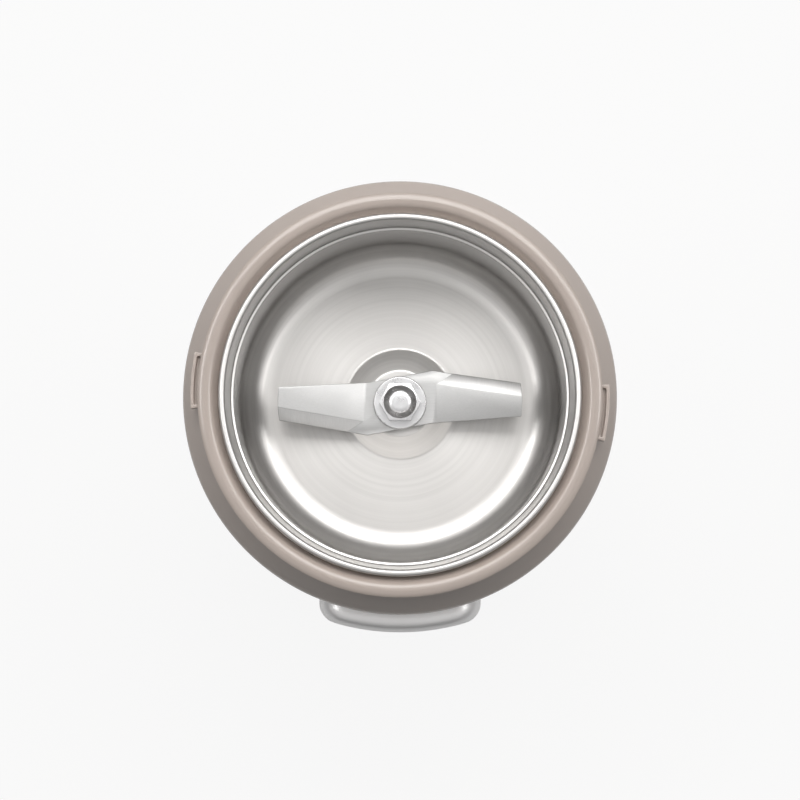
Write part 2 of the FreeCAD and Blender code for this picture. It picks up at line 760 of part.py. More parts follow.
def blade():
    """Two-armed cutter: a bent steel strip cut to an S in plan, with a ground bevel along each leading edge."""
    body = new_body("blade")
    strip = sketch(body, "Strip", "XZ_Plane", raised="place.blade_z")
    far, flat = "size.blade_radius", "size.blade_flat"
    outline(strip, [
        ("-" + flat, "0"),
        (flat, "0"),
        (far, "size.blade_rise"),
        (far, "size.blade_rise + size.blade_thick"),
        (flat, "size.blade_thick"),
        ("-" + flat, "size.blade_thick"),
        ("-" + far, "size.blade_rise + size.blade_thick"),
        ("-" + far, "size.blade_rise"),
    ])
    pad(body, strip, "size.blade_hub * 2 + size.overcut", "StripPad", middle=True)
    plan = sketch(body, "Plan", lift="place.blade_z - size.overcut")
    across, along = "size.blade_radius + size.overcut", "size.blade_hub + size.overcut"
    block(plan, "-(%s)" % across, "-(%s)" % along, across, along)
    lead = "sqrt(size.blade_radius ^ 2 - size.blade_lead ^ 2)"
    trail = "sqrt(size.blade_radius ^ 2 - size.blade_trail ^ 2)"
    outline(plan, [
        ("size.blade_hub", "-size.blade_root"),
        (trail, "-size.blade_trail", "size.blade_radius", -1),
        (lead, "size.blade_lead"),
        ("size.blade_hub", "size.blade_hub"),
        ("-size.blade_hub", "size.blade_root"),
        ("-" + trail, "size.blade_trail", "size.blade_radius", -1),
        ("-" + lead, "-size.blade_lead"),
        ("-size.blade_hub", "-size.blade_hub"),
    ])
    pocket(body, plan, "size.blade_rise + size.blade_thick + 2 * size.overcut", "PlanCut", flip=True)
    hole = sketch(body, "Hole", lift="place.blade_z")
    circle(hole, "0", "0", "size.shaft_tip")
    pocket(body, hole, "size.blade_thick", "HoleCut", flip=True)
    doc.recompute()

    # The leading edge of each arm is the highest of the arm's longest straight edges on its leading side.
    leading = []
    for side in (1, -1):
        arm = [
            edge for edge in body.Shape.Edges
            if isinstance(edge.Curve, Part.Line) and edge.CenterOfMass.x * side > number(flat)
            and edge.CenterOfMass.y * side > 0
        ]
        longest = max(edge.Length for edge in arm)
        upper = [edge for edge in arm if edge.Length > longest * 0.999]
        leading.append(max(upper, key=lambda edge: edge.CenterOfMass.z).CenterOfMass)
    bevel = chamfer(
        body, "Bevel",
        lambda edge: any(edge.CenterOfMass.distanceToPoint(spot) < 1e-4 for spot in leading), "size.bevel_depth",
    )
    bevel.ChamferType = "Two distances"
    bevel.setExpression("Size2", "size.bevel_width")
    doc.recompute()
    return body


def blade_spacer():
    """Collar on the shaft that the blade is clamped against."""
    return tube("blade_spacer", "size.shaft_radius", "size.spacer_radius", "place.spacer_z", "place.blade_z")


def blade_washer():
    return tube("blade_washer", "size.shaft_tip", "size.washer_radius", "place.washer_z", "place.nut_z")


def blade_nut():
    """Hexagon nut with a closed, bevelled cap over the shaft's end."""
    body = new_body("blade_nut")
    hexagon = sketch(body, "Hexagon", lift="place.nut_z")
    radius = "size.nut_flats / 2 / cos(30)"
    outline(hexagon, [("%s * cos(%d)" % (radius, 60 * i), "%s * sin(%d)" % (radius, 60 * i)) for i in range(6)])
    pad(body, hexagon, "size.nut_height", "Hex")
    dome = sketch(body, "Dome", "XZ_Plane")
    top = "place.nut_z + size.nut_height"
    outline(dome, [
        ("0", top),
        ("size.nut_flats / 2 - size.nut_land", top),
        ("size.shaft_tip", top + " + size.nut_dome"),
        ("0", top + " + size.nut_dome"),
    ])
    turn(body, dome, "Cap")
    bore = sketch(body, "Bore", lift="place.nut_z")
    circle(bore, "0", "0", "size.shaft_tip")
    pocket(body, bore, "size.nut_height", "BoreCut", flip=True)
    return body


def bearing(label, low):
    """Sintered bush."""
    return tube(label, "place.bore", "size.bearing_radius", low, "%s + size.bearing_height" % low)


def upper_bearing():
    return bearing("upper_bearing", "place.plate_low")


def lower_bearing():
    return bearing("lower_bearing", "size.lower_bracket_low")


def armature_core():
    """Laminated core with open slots for the windings."""
    body = tube("armature_core", "size.shaft_radius", "size.armature_radius", "size.stack_low", "place.stack_top")
    slot = sketch(body, "Slot", lift="size.stack_low")
    half = "size.slot_width / 2"
    block(slot, "size.slot_floor", "-" + half, "size.armature_radius + size.overcut", half)
    cut = pocket(body, slot, "size.stack_height", "SlotCut", flip=True)
    around(body, [cut], "size.slot_count", "Slots")
    return body


def armature_windings():
    """Copper end turns above and below the core, joined by a bar of wire in each slot."""
    body = new_body("armature_windings")
    inner, outer = "size.fan_hub", "size.winding_radius"
    low = sketch(body, "LowTurns", "XZ_Plane")
    block(low, inner, "size.stack_low - size.winding_overhang", outer, "size.stack_low")
    turn(body, low, "LowRing")
    bars = sketch(body, "Bar", lift="size.stack_low - size.winding_bite")
    half = "size.slot_width / 2"
    block(bars, "size.slot_floor", "-" + half, "size.winding_radius - size.winding_sink", half)
    bar = pad(body, bars, "size.stack_height + 2 * size.winding_bite", "BarPad")
    around(body, [bar], "size.slot_count", "Bars")
    high = sketch(body, "HighTurns", "XZ_Plane")
    block(high, inner, "place.stack_top", outer, "place.stack_top + size.winding_overhang")
    turn(body, high, "HighRing")
    rims = ring_edge(
        (outer, "size.stack_low - size.winding_overhang"), (outer, "place.stack_top + size.winding_overhang")
    )
    chamfer(body, "Bevelled", rims, "size.winding_bevel")
    return body


def commutator():
    """Copper drum slit into bars, on the shaft."""
    top = "size.commutator_low + size.commutator_height"
    body = tube("commutator", "size.shaft_radius", "size.commutator_radius", "size.commutator_low", top)
    slit = sketch(body, "Slit", lift="size.commutator_low")
    half = "size.commutator_slit / 2"
    block(slit, "size.commutator_radius - size.slit_depth", "-" + half, "size.commutator_radius + size.overcut", half)
    cut = pocket(body, slit, "size.commutator_height", "SlitCut", flip=True)
    around(body, [cut], "size.slot_count", "Slits")
    return body


def cooling_fan():
    """Moulded fan on the shaft: a flat plate, a hub and slanted blades."""
    body = turned("cooling_fan", [
        ("size.shaft_radius", "size.fan_low"),
        ("size.fan_radius", "size.fan_low"),
        ("size.fan_radius", "size.fan_low + size.fan_plate"),
        ("size.fan_hub", "size.fan_low + size.fan_plate"),
        ("size.fan_hub", "size.fan_low + size.fan_height"),
        ("size.shaft_radius", "size.fan_low + size.fan_height"),
    ])
    vane = sketch(body, "Vane", lift="size.fan_low + size.fan_plate / 2")
    outline(vane, [
        ("size.fan_hub - size.fan_vane", "size.fan_vane / 2"),
        ("size.fan_hub - size.fan_vane", "-size.fan_vane / 2"),
        ("size.fan_radius - size.fan_margin", "-size.fan_sweep"),
        ("size.fan_radius - size.fan_margin", "-size.fan_sweep + size.fan_vane"),
    ])
    blade_pad = pad(body, vane, "size.fan_height - size.fan_plate / 2", "VanePad")
    around(body, [blade_pad], "size.fan_blades", "Vanes")
    return body


def stator_core():
    """Laminated field core: a yoke with two pole pieces that face the armature from front and back."""
    body = new_body("stator_core")
    sheet = sketch(body, "Outline", lift="size.stack_low")
    across, along = "size.stator_length / 2", "size.stator_width / 2"
    rounded(sheet, "-" + across, "-" + along, across, along, "size.stator_corner")
    circle(sheet, "0", "0", "size.yoke_radius")
    pad(body, sheet, "size.stack_height", "Yoke")
    necks = sketch(body, "Necks", lift="size.stack_low")
    half = "size.pole_neck / 2"
    near, far = "(size.pole_face + size.pole_bite)", "(size.yoke_radius + size.pole_bite)"
    block(necks, "-" + half, near, half, far)
    block(necks, "-" + half, "-" + far, half, "-" + near)
    pad(body, necks, "size.stack_height", "NeckPad")
    shoes = sketch(body, "Shoes", lift="size.stack_low")
    circle(shoes, "0", "0", "size.pole_face + size.pole_shoe")
    circle(shoes, "0", "0", "size.pole_face")
    pad(body, shoes, "size.stack_height", "ShoePad")
    gaps = sketch(body, "Gaps", lift="size.stack_low")
    gap, end = "size.pole_gap / 2", "(size.pole_face + size.pole_shoe + size.pole_bite)"
    block(gaps, "size.shaft_radius", "-" + gap, end, gap)
    block(gaps, "-" + end, "-" + gap, "-size.shaft_radius", gap)
    pocket(body, gaps, "size.stack_height", "GapCut", flip=True)
    holes = sketch(body, "Holes", lift="size.stack_low")
    for x, y in MOTOR_SPOTS:
        circle(holes, x, y, "size.motor_screw_radius")
    pocket(body, holes, "size.stack_height", "HoleCut", flip=True)
    return body


def boxed(name, across, along, low, high, width, depth):
    """A box primitive centred on (across, along)."""
    made = doc.addObject("Part::Box", name)
    made.setExpression("Length", width)
    made.setExpression("Width", depth)
    made.setExpression("Height", "%s - (%s)" % (high, low))
    made.setExpression("Placement.Base.x", "%s - (%s) / 2" % (across, width))
    made.setExpression("Placement.Base.y", "%s - (%s) / 2" % (along, depth))
    made.setExpression("Placement.Base.z", low)
    return made


def rod(name, radius, low, high):
    """A cylinder primitive on the motor's axis."""
    made = doc.addObject("Part::Cylinder", name)
    made.setExpression("Radius", radius)
    made.setExpression("Height", "%s - (%s)" % (high, low))
    made.setExpression("Placement.Base.z", low)
    return made


def cut(name, base, tool):
    made = doc.addObject("Part::Cut", name)
    made.Base, made.Tool = base, tool
    return made


def field_coil(label, side):
    """Bobbin of wire round one pole neck, bent to the curve between the pole shoe and the yoke."""
    low, high = "size.stack_low - size.coil_overhang", "place.stack_top + size.coil_overhang"
    slack, over = "size.coil_slack", (" - size.overcut", " + size.overcut")
    wound = cut(
        label + "_curve",
        rod(label + "_out", "size.yoke_radius - " + slack, low, high),
        rod(label + "_in", "size.pole_face + size.pole_shoe + " + slack, low + over[0], high + over[1]),
    )
    along = "%s * (size.pole_face + size.yoke_radius) / 2" % side
    window = cut(
        label + "_frame",
        boxed(label + "_whole", "0", along, low + over[0], high + over[1], "size.coil_width", "size.yoke_radius"),
        boxed(
            label + "_window", "0", along, "size.stack_low - " + slack, "place.stack_top + " + slack,
            "size.pole_neck + 2 * " + slack, "size.yoke_radius + size.overcut",
        ),
    )
    made = doc.addObject("Part::Common", label.title().replace("_", ""))
    made.Base, made.Tool = wound, window
    made.Label = label
    return made


def rear_field_coil():
    return field_coil("rear_field_coil", "1")


def front_field_coil():
    return field_coil("front_field_coil", "-1")


def bracket_strap(body, plate_low, plate_high, foot_low, foot_high, name):
    """A bent strap: a flat plate, two legs past the stator's ends, and feet that lie on the stator."""
    strap = sketch(body, name, "XZ_Plane")
    half, sheet = "place.bracket_half", "size.bracket_sheet"
    inner = "place.bracket_half - " + sheet
    foot = "size.motor_screw_spot - size.motor_screw_radius * 2"
    upward = number(foot_low) > number(plate_low)
    near, leg = (plate_high, foot_low) if upward else (plate_low, foot_high)
    far, end = (plate_low, foot_high) if upward else (plate_high, foot_low)
    outline(strap, [
        ("-(%s)" % foot, end), ("-" + half, end), ("-" + half, far), (half, far), (half, end), (foot, end),
        (foot, leg), (inner, leg), (inner, near), ("-(%s)" % inner, near), ("-(%s)" % inner, leg),
        ("-(%s)" % foot, leg),
    ])
    pad(body, strap, "size.bracket_width", name + "Pad", middle=True)
    holes = sketch(body, name + "Holes", lift=foot_low)
    for x, y in MOTOR_SPOTS:
        circle(holes, x, y, "size.motor_screw_radius")
    pocket(body, holes, sheet, name + "HoleCut", flip=True)


def motor_upper_bracket():
    """Pressed steel bracket over the fan: it carries the upper bearing and hangs from the deck on rubber bushes."""
    body = new_body("motor_upper_bracket")
    bracket_strap(body, "place.plate_low", "place.plate_top", "place.stack_top",
                  "place.stack_top + size.bracket_sheet", "Strap")
    plate = sketch(body, "Plate", lift="place.plate_low")
    across, along = "place.bracket_half", "size.upper_plate_width / 2"
    rounded(plate, "-" + across, "-" + along, across, along, "size.bush_radius")
    pad(body, plate, "size.bracket_sheet", "PlatePad")
    cup = sketch(body, "Cup", lift="place.plate_low")
    circle(cup, "0", "0", "size.bearing_cup")
    pad(body, cup, "size.bearing_height", "CupPad")
    seat = sketch(body, "Seat", lift="place.plate_low")
    circle(seat, "0", "0", "size.bearing_radius")
    pocket(body, seat, "size.bearing_height", "SeatCut", flip=True)
    holes = sketch(body, "BushHoles", lift="place.plate_low")
    for x, y in BUSH_SPOTS:
        circle(holes, x, y, "size.bush_screw_radius")
    pocket(body, holes, "size.bracket_sheet", "BushCut", flip=True)
    return body


def motor_lower_bracket():
    """Pressed steel bracket below the commutator, with two arms for the brush holders."""
    body = new_body("motor_lower_bracket")
    bracket_strap(body, "size.lower_bracket_low", "place.arm_top", "size.stack_low - size.bracket_sheet",
                  "size.stack_low", "Strap")
    arms = sketch(body, "Arms", lift="size.lower_bracket_low")
    half = "size.lower_arm_width / 2"
    block(arms, "-" + half, "-place.holder_end", half, "place.holder_end")
    pad(body, arms, "size.bracket_sheet", "ArmPad")
    cup = sketch(body, "Cup", lift="size.lower_bracket_low")
    circle(cup, "0", "0", "size.bearing_cup")
    pad(body, cup, "size.bearing_height", "CupPad")
    seat = sketch(body, "Seat", lift="size.lower_bracket_low")
    circle(seat, "0", "0", "size.bearing_radius")
    pocket(body, seat, "size.bearing_height", "SeatCut", flip=True)
    return body


def motor_screws():
    """Two long screws that clamp both brackets on the field core."""
    foot = "size.stack_low - size.bracket_sheet"
    return fasteners(
        "motor_screws", MOTOR_SPOTS, "size.motor_screw_head", foot + " - size.motor_screw_head_height",
        "size.motor_screw_head_height", "size.motor_screw_radius", foot,
        "size.stack_height + 2 * size.bracket_sheet + size.motor_nut_height + size.motor_screw_end",
    )


def motor_nuts():
    """Hexagon nuts on the long screws, above the upper bracket's feet."""
    body = new_body("motor_nuts")
    low = "place.stack_top + size.bracket_sheet"
    flats = sketch(body, "Flats", lift=low)
    for x, y in MOTOR_SPOTS:
        across = "size.motor_screw_head / cos(30)"
        outline(flats, [
            ("%s + %s * cos(%d)" % (x, across, 60 * i + 30), "%s * sin(%d)" % (across, 60 * i + 30)) for i in range(6)
        ])
        circle(flats, x, y, "size.motor_screw_radius")
    pad(body, flats, "size.motor_nut_height", "Hex")
    return body


def motor_bushes():
    """Four rubber bushes between the motor's upper bracket and the deck."""
    body = new_body("motor_bushes")
    rings = sketch(body, "Rings", lift="place.plate_top")
    for x, y in BUSH_SPOTS:
        circle(rings, x, y, "size.bush_radius")
        circle(rings, x, y, "size.bush_screw_radius")
    pad(body, rings, "size.bush_height", "RingPad")
    return body


def motor_mount_screws():
    """Four screws from the bracket through the bushes into the deck's bosses."""
    return fasteners(
        "motor_mount_screws", BUSH_SPOTS, "size.screw_head", "place.plate_low - size.screw_head_height",
        "size.screw_head_height", "size.bush_screw_radius", "place.plate_low",
        "size.bracket_sheet + size.bush_height + size.deck_boss_height",
    )


def brush_holder(label, side):
    """Moulded box on the lower bracket's arm, open towards the commutator, closed behind the spring."""
    body = new_body(label)
    box = sketch(body, "Box", "XZ_Plane", lift="-1 * %d * place.holder_in" % side)
    half, tall = "(size.brush_width / 2 + size.brush_slack)", "(size.brush_height / 2 + size.brush_slack)"
    wall = "size.holder_wall"
    block(box, "-%s - %s" % (half, wall), "place.brush_z - %s - %s" % (tall, wall),
          "%s + %s" % (half, wall), "place.brush_z + %s + %s" % (tall, wall))
    pad(body, box, "place.holder_end - place.holder_in", "BoxPad", flip=side > 0)
    foot = sketch(body, "Foot", lift="place.arm_top")
    near, far = "%d * (place.holder_end - size.holder_foot)" % side, "%d * place.holder_end" % side
    ends = (near, far) if side > 0 else (far, near)
    block(foot, "-%s - %s" % (half, wall), ends[0], "%s + %s" % (half, wall), ends[1])
    pad(body, foot, "place.brush_z - %s - place.arm_top" % tall, "FootPad")
    bore = sketch(body, "Bore", "XZ_Plane", lift="-1 * %d * place.holder_in" % side)
    block(bore, "-" + half, "place.brush_z - " + tall, half, "place.brush_z + " + tall)
    pocket(body, bore, "place.holder_end - place.holder_in - size.holder_cap", "BoreCut", flip=side < 0)
    return body


def brush(label, side):
    """Carbon brush with its end hollowed to the commutator's curve."""
    body = new_body(label)
    bar = sketch(body, "Bar", "XZ_Plane", lift="-1 * %d * place.brush_end" % side)
    half, tall = "size.brush_width / 2", "size.brush_height / 2"
    block(bar, "-" + half, "place.brush_z - " + tall, half, "place.brush_z + " + tall)
    pad(body, bar, "size.brush_length + size.brush_face", "BarPad", flip=side < 0)
    face = sketch(body, "Face", lift="place.brush_z - " + tall)
    circle(face, "0", "0", "place.brush_start")
    pocket(body, face, "size.brush_height", "FaceCut", flip=True)
    return body


def brush_spring(label, side):
    """Spring that pushes the brush against the commutator."""
    start = "place.brush_end + size.spring_end_gap"
    end = "place.brush_end + size.brush_spring_length - size.spring_end_gap"
    mean = "size.brush_width / 2 - size.spring_wire"
    return wound(label, [coil("0", start, end, side, "place.brush_z", mean, "size.brush_spring_turns")])


def coil(across, start, end, side, level, mean, turns):
    """A spring of square wire wound along Y, as a ruled loft through a section at each eighth of a turn."""
    half = number("size.spring_wire") / 2
    first, last, radius = number(start) + half, number(end) - half, number(mean)
    steps = round(number(turns) * 8)
    sections = []
    for step in range(steps + 1):
        angle = math.radians(45 * step)
        middle = first + (last - first) * step / steps
        corners = [
            FreeCAD.Vector(
                number(across) + (radius + out) * math.cos(angle), side * (middle + along),
                number(level) + (radius + out) * math.sin(angle),
            )
            for out, along in ((-half, -half), (half, -half), (half, half), (-half, half))
        ]
        sections.append(Part.makePolygon(corners + corners[:1]))
    return Part.makeLoft(sections, True, True)


def wound(label, coils):
    made = doc.addObject("Part::Feature", label.title().replace("_", ""))
    made.Shape = Part.makeCompound(coils) if len(coils) > 1 else coils[0]
    made.Label = label
    return made


def rear_brush_holder():
    return brush_holder("rear_brush_holder", 1)


def front_brush_holder():
    return brush_holder("front_brush_holder", -1)


def rear_brush():
    return brush("rear_brush", 1)


def front_brush():
    return brush("front_brush", -1)


def rear_brush_spring():
    return brush_spring("rear_brush_spring", 1)


def front_brush_spring():
    return brush_spring("front_brush_spring", -1)


def push_button():
    """Hollow cap with a front bowed like the body, a flange behind the window, and a stem down to the switch."""
    body = new_body("push_button")
    front = "(size.wide_radius + size.button_proud)"
    behind = "(place.inner_wall - size.flange_gap)"
    inside = "(%s - size.flange_thick)" % behind
    half = "size.button_width / 2"
    face = sketch(body, "Face", "XZ_Plane")
    rounded(face, "-" + half, "place.button_low", half, "place.button_top", "size.button_corner")
    pad(body, face, front + " + size.overcut", "Cap")
    bow = sketch(body, "Bow", lift="place.button_low")
    circle(bow, "0", "0", front)
    past = "(%s + 2 * size.overcut)" % front
    block(bow, "-" + past, "-" + past, past, past)
    pocket(body, bow, "size.button_height", "BowCut", flip=True)
    reach = number(front)

    def at_front(edge):
        ends = [vertex.Point for vertex in edge.Vertexes]
        middle = edge.valueAt((edge.FirstParameter + edge.LastParameter) / 2)
        return all(abs(math.hypot(p.x, p.y) - reach) < 1e-3 for p in ends + [middle])

    chamfer(body, "FrontBevel", at_front, "size.button_bevel")

    flange = sketch(body, "Flange", lift="place.button_low - size.flange_lap")
    wide = "(%s + size.flange_lap)" % half
    outline(flange, [
        ("-" + wide, "-sqrt(%s ^ 2 - %s ^ 2)" % (behind, wide), behind, -1),
        (wide, "-sqrt(%s ^ 2 - %s ^ 2)" % (behind, wide)),
        (wide, "-sqrt(%s ^ 2 - %s ^ 2)" % (inside, wide), inside, 1),
        ("-" + wide, "-sqrt(%s ^ 2 - %s ^ 2)" % (inside, wide)),
    ])
    pad(body, flange, "size.button_height + 2 * size.flange_lap", "FlangePad")

    hollow = sketch(body, "Hollow", "XZ_Plane")
    wall = "size.button_wall"
    rounded(hollow, "-%s + %s" % (half, wall), "place.button_low + " + wall, "%s - %s" % (half, wall),
            "place.button_top - " + wall, "(size.button_corner - %s)" % wall)
    pocket(body, hollow, front + " - size.button_front", "HollowCut", flip=True)
    trim = sketch(body, "Trim", lift="place.button_low - size.flange_lap")
    circle(trim, "0", "0", inside)
    pocket(body, trim, "size.button_height + 2 * size.flange_lap", "TrimCut", flip=True)

    web = sketch(body, "Web", lift="place.button_low - size.flange_lap")
    stem = "size.stem_width / 2"
    mid = "(%s + size.flange_thick / 2)" % inside
    outline(web, [
        ("-" + stem, "-sqrt(%s ^ 2 - (%s) ^ 2)" % (mid, stem), mid, -1),
        (stem, "-sqrt(%s ^ 2 - (%s) ^ 2)" % (mid, stem)),
        (stem, "-place.stem_back"),
        ("-" + stem, "-place.stem_back"),
    ])
    pad(body, web, "size.web_thick", "WebPad")
    plate = sketch(body, "Stem", lift="place.stem_low")
    block(plate, "-" + stem, "-place.stem_front", stem, "-place.stem_back")
    pad(body, plate, "place.button_low - size.flange_lap - place.stem_low + size.stem_bite", "StemPad")
    posts = sketch(body, "SpringPosts", "XZ_Plane", lift="place.stem_back + size.stem_thick / 2")
    for x in ("size.spring_spot", "-size.spring_spot"):
        circle(posts, x, "place.switch_z", "size.spring_post")
    pad(body, posts, "size.stem_thick / 2 + size.spring_post_length", "PostPad", flip=True)
    return body


def button_springs():
    """The button's two return springs, between its stem and the switch cradle's ears."""
    start, end = "place.spring_seat + size.spring_end_gap", "place.stem_back - size.spring_end_gap"
    mean = "size.spring_radius - size.spring_wire / 2"
    return wound("button_springs", [
        coil(across, start, end, -1, "place.switch_z", mean, "size.spring_turns")
        for across in ("size.spring_spot", "-size.spring_spot")
    ])


def switch_case():
    """Momentary switch body with a slot for its plunger."""
    body = new_body("switch_case")
    case = sketch(body, "Case", lift="place.switch_low")
    half = "size.switch_width / 2"
    block(case, "-" + half, "-place.switch_front", half, "-place.switch_back")
    pad(body, case, "size.switch_height", "CasePad")
    chamfer(body, "Corners", upright, "size.switch_corner")
    slot = sketch(body, "Slot", "XZ_Plane", lift="place.switch_front")
    wide = "(size.plunger_width / 2 + size.plunger_slack)"
    tall = "(size.plunger_height / 2 + size.plunger_slack)"
    block(slot, "-" + wide, "place.switch_z - " + tall, wide, "place.switch_z + " + tall)
    pocket(body, slot, "size.plunger_root + size.button_travel + size.plunger_end_gap", "SlotCut")
    return body


def switch_plunger():
    body = new_body("switch_plunger")
    bar = sketch(body, "Bar", "XZ_Plane", lift="place.switch_front - size.plunger_root")
    half, tall = "size.plunger_width / 2", "size.plunger_height / 2"
    block(bar, "-" + half, "place.switch_z - " + tall, half, "place.switch_z + " + tall)
    pad(body, bar, "size.plunger_root + size.plunger_reach", "BarPad")
    return body


def switch_terminals():
    """Two blade terminals at the switch's back."""
    body = new_body("switch_terminals")
    blades = sketch(body, "Blades", lift="place.switch_z - size.terminal_width / 2")
    for x in (1, -1):
        near = "%d * size.switch_width / 4 - size.terminal_thick / 2" % x
        block(blades, near, "-place.switch_back", near + " + size.terminal_thick", "-place.terminal_end")
    pad(body, blades, "size.terminal_width", "BladePad")
    return body


def switch_cradle():
    """Pressed plate under the switch: screwed to the deck, with two ears that the button's springs push against."""
    body = new_body("switch_cradle")
    plate = sketch(body, "Plate", lift="size.deck_top")
    half = "(size.switch_width / 2 + size.cradle_lap)"
    back = "-place.switch_back + size.cradle_margin"
    block(plate, "-" + half, "-place.spring_seat", half, back)
    pad(body, plate, "size.cradle_sheet", "PlatePad")
    ears = sketch(body, "Ears", lift="size.deck_top")
    near = "(size.switch_width / 2 + size.ear_gap)"
    block(ears, near, "-place.spring_seat", half, "-place.spring_seat + size.cradle_sheet")
    block(ears, "-" + half, "-place.spring_seat", "-" + near, "-place.spring_seat + size.cradle_sheet")
    pad(body, ears, "place.switch_z - size.deck_top + size.spring_radius + size.ear_gap", "EarPad")
    posts = sketch(body, "Posts", "XZ_Plane", lift="place.spring_seat - size.cradle_sheet / 2")
    for x in ("size.spring_spot", "-size.spring_spot"):
        circle(posts, x, "place.switch_z", "size.spring_post")
    pad(body, posts, "size.cradle_sheet / 2 + size.spring_post_length", "PostPad")
    holes = sketch(body, "Holes", lift="size.deck_top")
    for x, y in CRADLE_SPOTS:
        circle(holes, x, y, "size.screw_radius")
    pocket(body, holes, "size.cradle_sheet", "HoleCut", flip=True)
    return body


def cradle_screws():
    top = "(size.deck_top + size.cradle_sheet)"
    return fasteners(
        "cradle_screws", CRADLE_SPOTS, "size.screw_head", top, "size.screw_head_height",
        "size.screw_radius", top + " - size.cradle_sheet - size.deck_boss_height + size.screw_end_gap",
        "size.cradle_sheet + size.deck_boss_height - size.screw_end_gap",
    )


def base_cover():
    """Bottom plate: radial air slots, a groove for the rubber foot, and sunk screw seats."""
    body = turned("base_cover", [
        ("0", "place.cover_low"),
        ("place.foot_inner", "place.cover_low"),
        ("place.foot_inner", "place.foot_top"),
        ("place.foot_outer", "place.foot_top"),
        ("place.foot_outer", "place.cover_low"),
        ("place.cover_edge", "place.cover_low"),
        ("place.cover_edge", "place.cover_top"),
        ("0", "place.cover_top"),
    ])
    vent = sketch(body, "Vent", lift="place.cover_low")
    block(vent, "size.vent_start", "-size.vent_width / 2", "place.vent_end", "size.vent_width / 2")
    slot = pocket(body, vent, "size.cover_thick", "VentCut", flip=True)
    around(body, [slot], "size.vent_count", "Vents")
    seats = sketch(body, "Seats", lift="place.cover_low")
    holes = sketch(body, "Holes", lift="place.cover_low")
    for x, y in BASE_SPOTS:
        circle(seats, x, y, "size.screw_head + size.screw_head_slack")
        circle(holes, x, y, "size.screw_radius")
    pocket(body, seats, "place.base_seat_z - place.cover_low", "SeatCut", flip=True)
    pocket(body, holes, "size.cover_thick", "HoleCut", flip=True)
    return body


def base_screws():
    return fasteners(
        "base_screws", BASE_SPOTS, "size.screw_head", "place.base_screw_z", "size.screw_head_height",
        "size.screw_radius", "place.base_seat_z", "place.cover_top - place.base_seat_z + size.base_screw_bite",
    )


def foot_ring():
    """Rubber ring foot, pressed into the base cover's groove."""
    body = tube("foot_ring", "place.foot_inner", "place.foot_outer", "0", "place.foot_top")
    chamfer(body, "Edges", ring_edge(("place.foot_inner", "0"), ("place.foot_outer", "0")), "size.foot_bevel")
    return body


def cord_grommet():
    """Rubber sleeve in the back wall, where the cord goes in."""
    body = new_body("cord_grommet")
    made = sketch(body, "Profile", "YZ_Plane", raised="size.cord_height")
    outer = taper_radius("(size.cord_height + size.grommet_flange)")
    wall = "(%s - size.shell_wall)" % taper_radius("(size.cord_height - size.grommet_flange)")
    inner = "(sqrt(%s ^ 2 - size.grommet_flange ^ 2))" % wall
    outline(made, [
        (inner + " - size.grommet_plate", "size.grommet_bore"),
        (outer + " + size.grommet_plate", "size.grommet_bore"),
        (outer + " + size.grommet_plate", "size.grommet_flange - size.grommet_bevel"),
        (outer, "size.grommet_flange"),
        (outer, "size.grommet_radius"),
        (inner, "size.grommet_radius"),
        (inner, "size.grommet_flange"),
        (inner + " - size.grommet_plate", "size.grommet_flange"),
    ])
    turn(body, made, axis="H_Axis")
    return body


MAKERS = [
    body_shell, top_collar, bowl, bowl_gasket, shaft_seal,
    motor_shaft, blade, blade_spacer, blade_washer, blade_nut,
    upper_bearing, lower_bearing, armature_core, armature_windings, commutator, cooling_fan,
    stator_core, rear_field_coil, front_field_coil, motor_upper_bracket, motor_lower_bracket,
    motor_screws, motor_nuts, motor_bushes, motor_mount_screws,
    rear_brush_holder, front_brush_holder, rear_brush, front_brush, rear_brush_spring, front_brush_spring,
    push_button, button_springs, switch_case, switch_plunger, switch_terminals, switch_cradle, cradle_screws,
    base_cover, base_screws, foot_ring, cord_grommet,
]
pieces = [make() for make in MAKERS]
doc.recompute()

# Every feature has to be sound before anything is written.
for item in doc.Objects:
    if "Invalid" in item.State or "Error" in item.State:
        raise ValueError("%s failed: %s" % (item.Label, item.State))
for piece in pieces:
    if piece.Shape.isNull() or not piece.Shape.isValid() or not piece.Shape.Solids:
        raise ValueError("%s has no sound solid" % piece.Label)
for piece in pieces:
    piece.Shape.exportStep("parts/%s.step" % piece.Label)
    print("%-22s %d solid(s) %10.1f mm3" % (piece.Label, len(piece.Shape.Solids), piece.Shape.Volume))
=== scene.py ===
import json
import math
import bmesh
import bpy
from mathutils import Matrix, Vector


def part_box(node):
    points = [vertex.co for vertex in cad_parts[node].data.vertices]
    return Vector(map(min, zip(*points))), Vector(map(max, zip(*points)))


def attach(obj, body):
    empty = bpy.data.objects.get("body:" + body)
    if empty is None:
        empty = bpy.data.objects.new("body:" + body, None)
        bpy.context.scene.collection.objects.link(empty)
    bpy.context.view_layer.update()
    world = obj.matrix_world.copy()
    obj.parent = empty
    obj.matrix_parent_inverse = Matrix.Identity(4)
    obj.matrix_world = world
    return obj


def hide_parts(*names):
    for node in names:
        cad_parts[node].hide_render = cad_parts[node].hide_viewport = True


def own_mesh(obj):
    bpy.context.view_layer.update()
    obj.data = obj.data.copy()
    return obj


# An electric spice grinder with its lid off. Sizes are in millimetres, and are turned to metres where
# a mesh is made. The front with its push button is towards -Y.
MM = 0.001
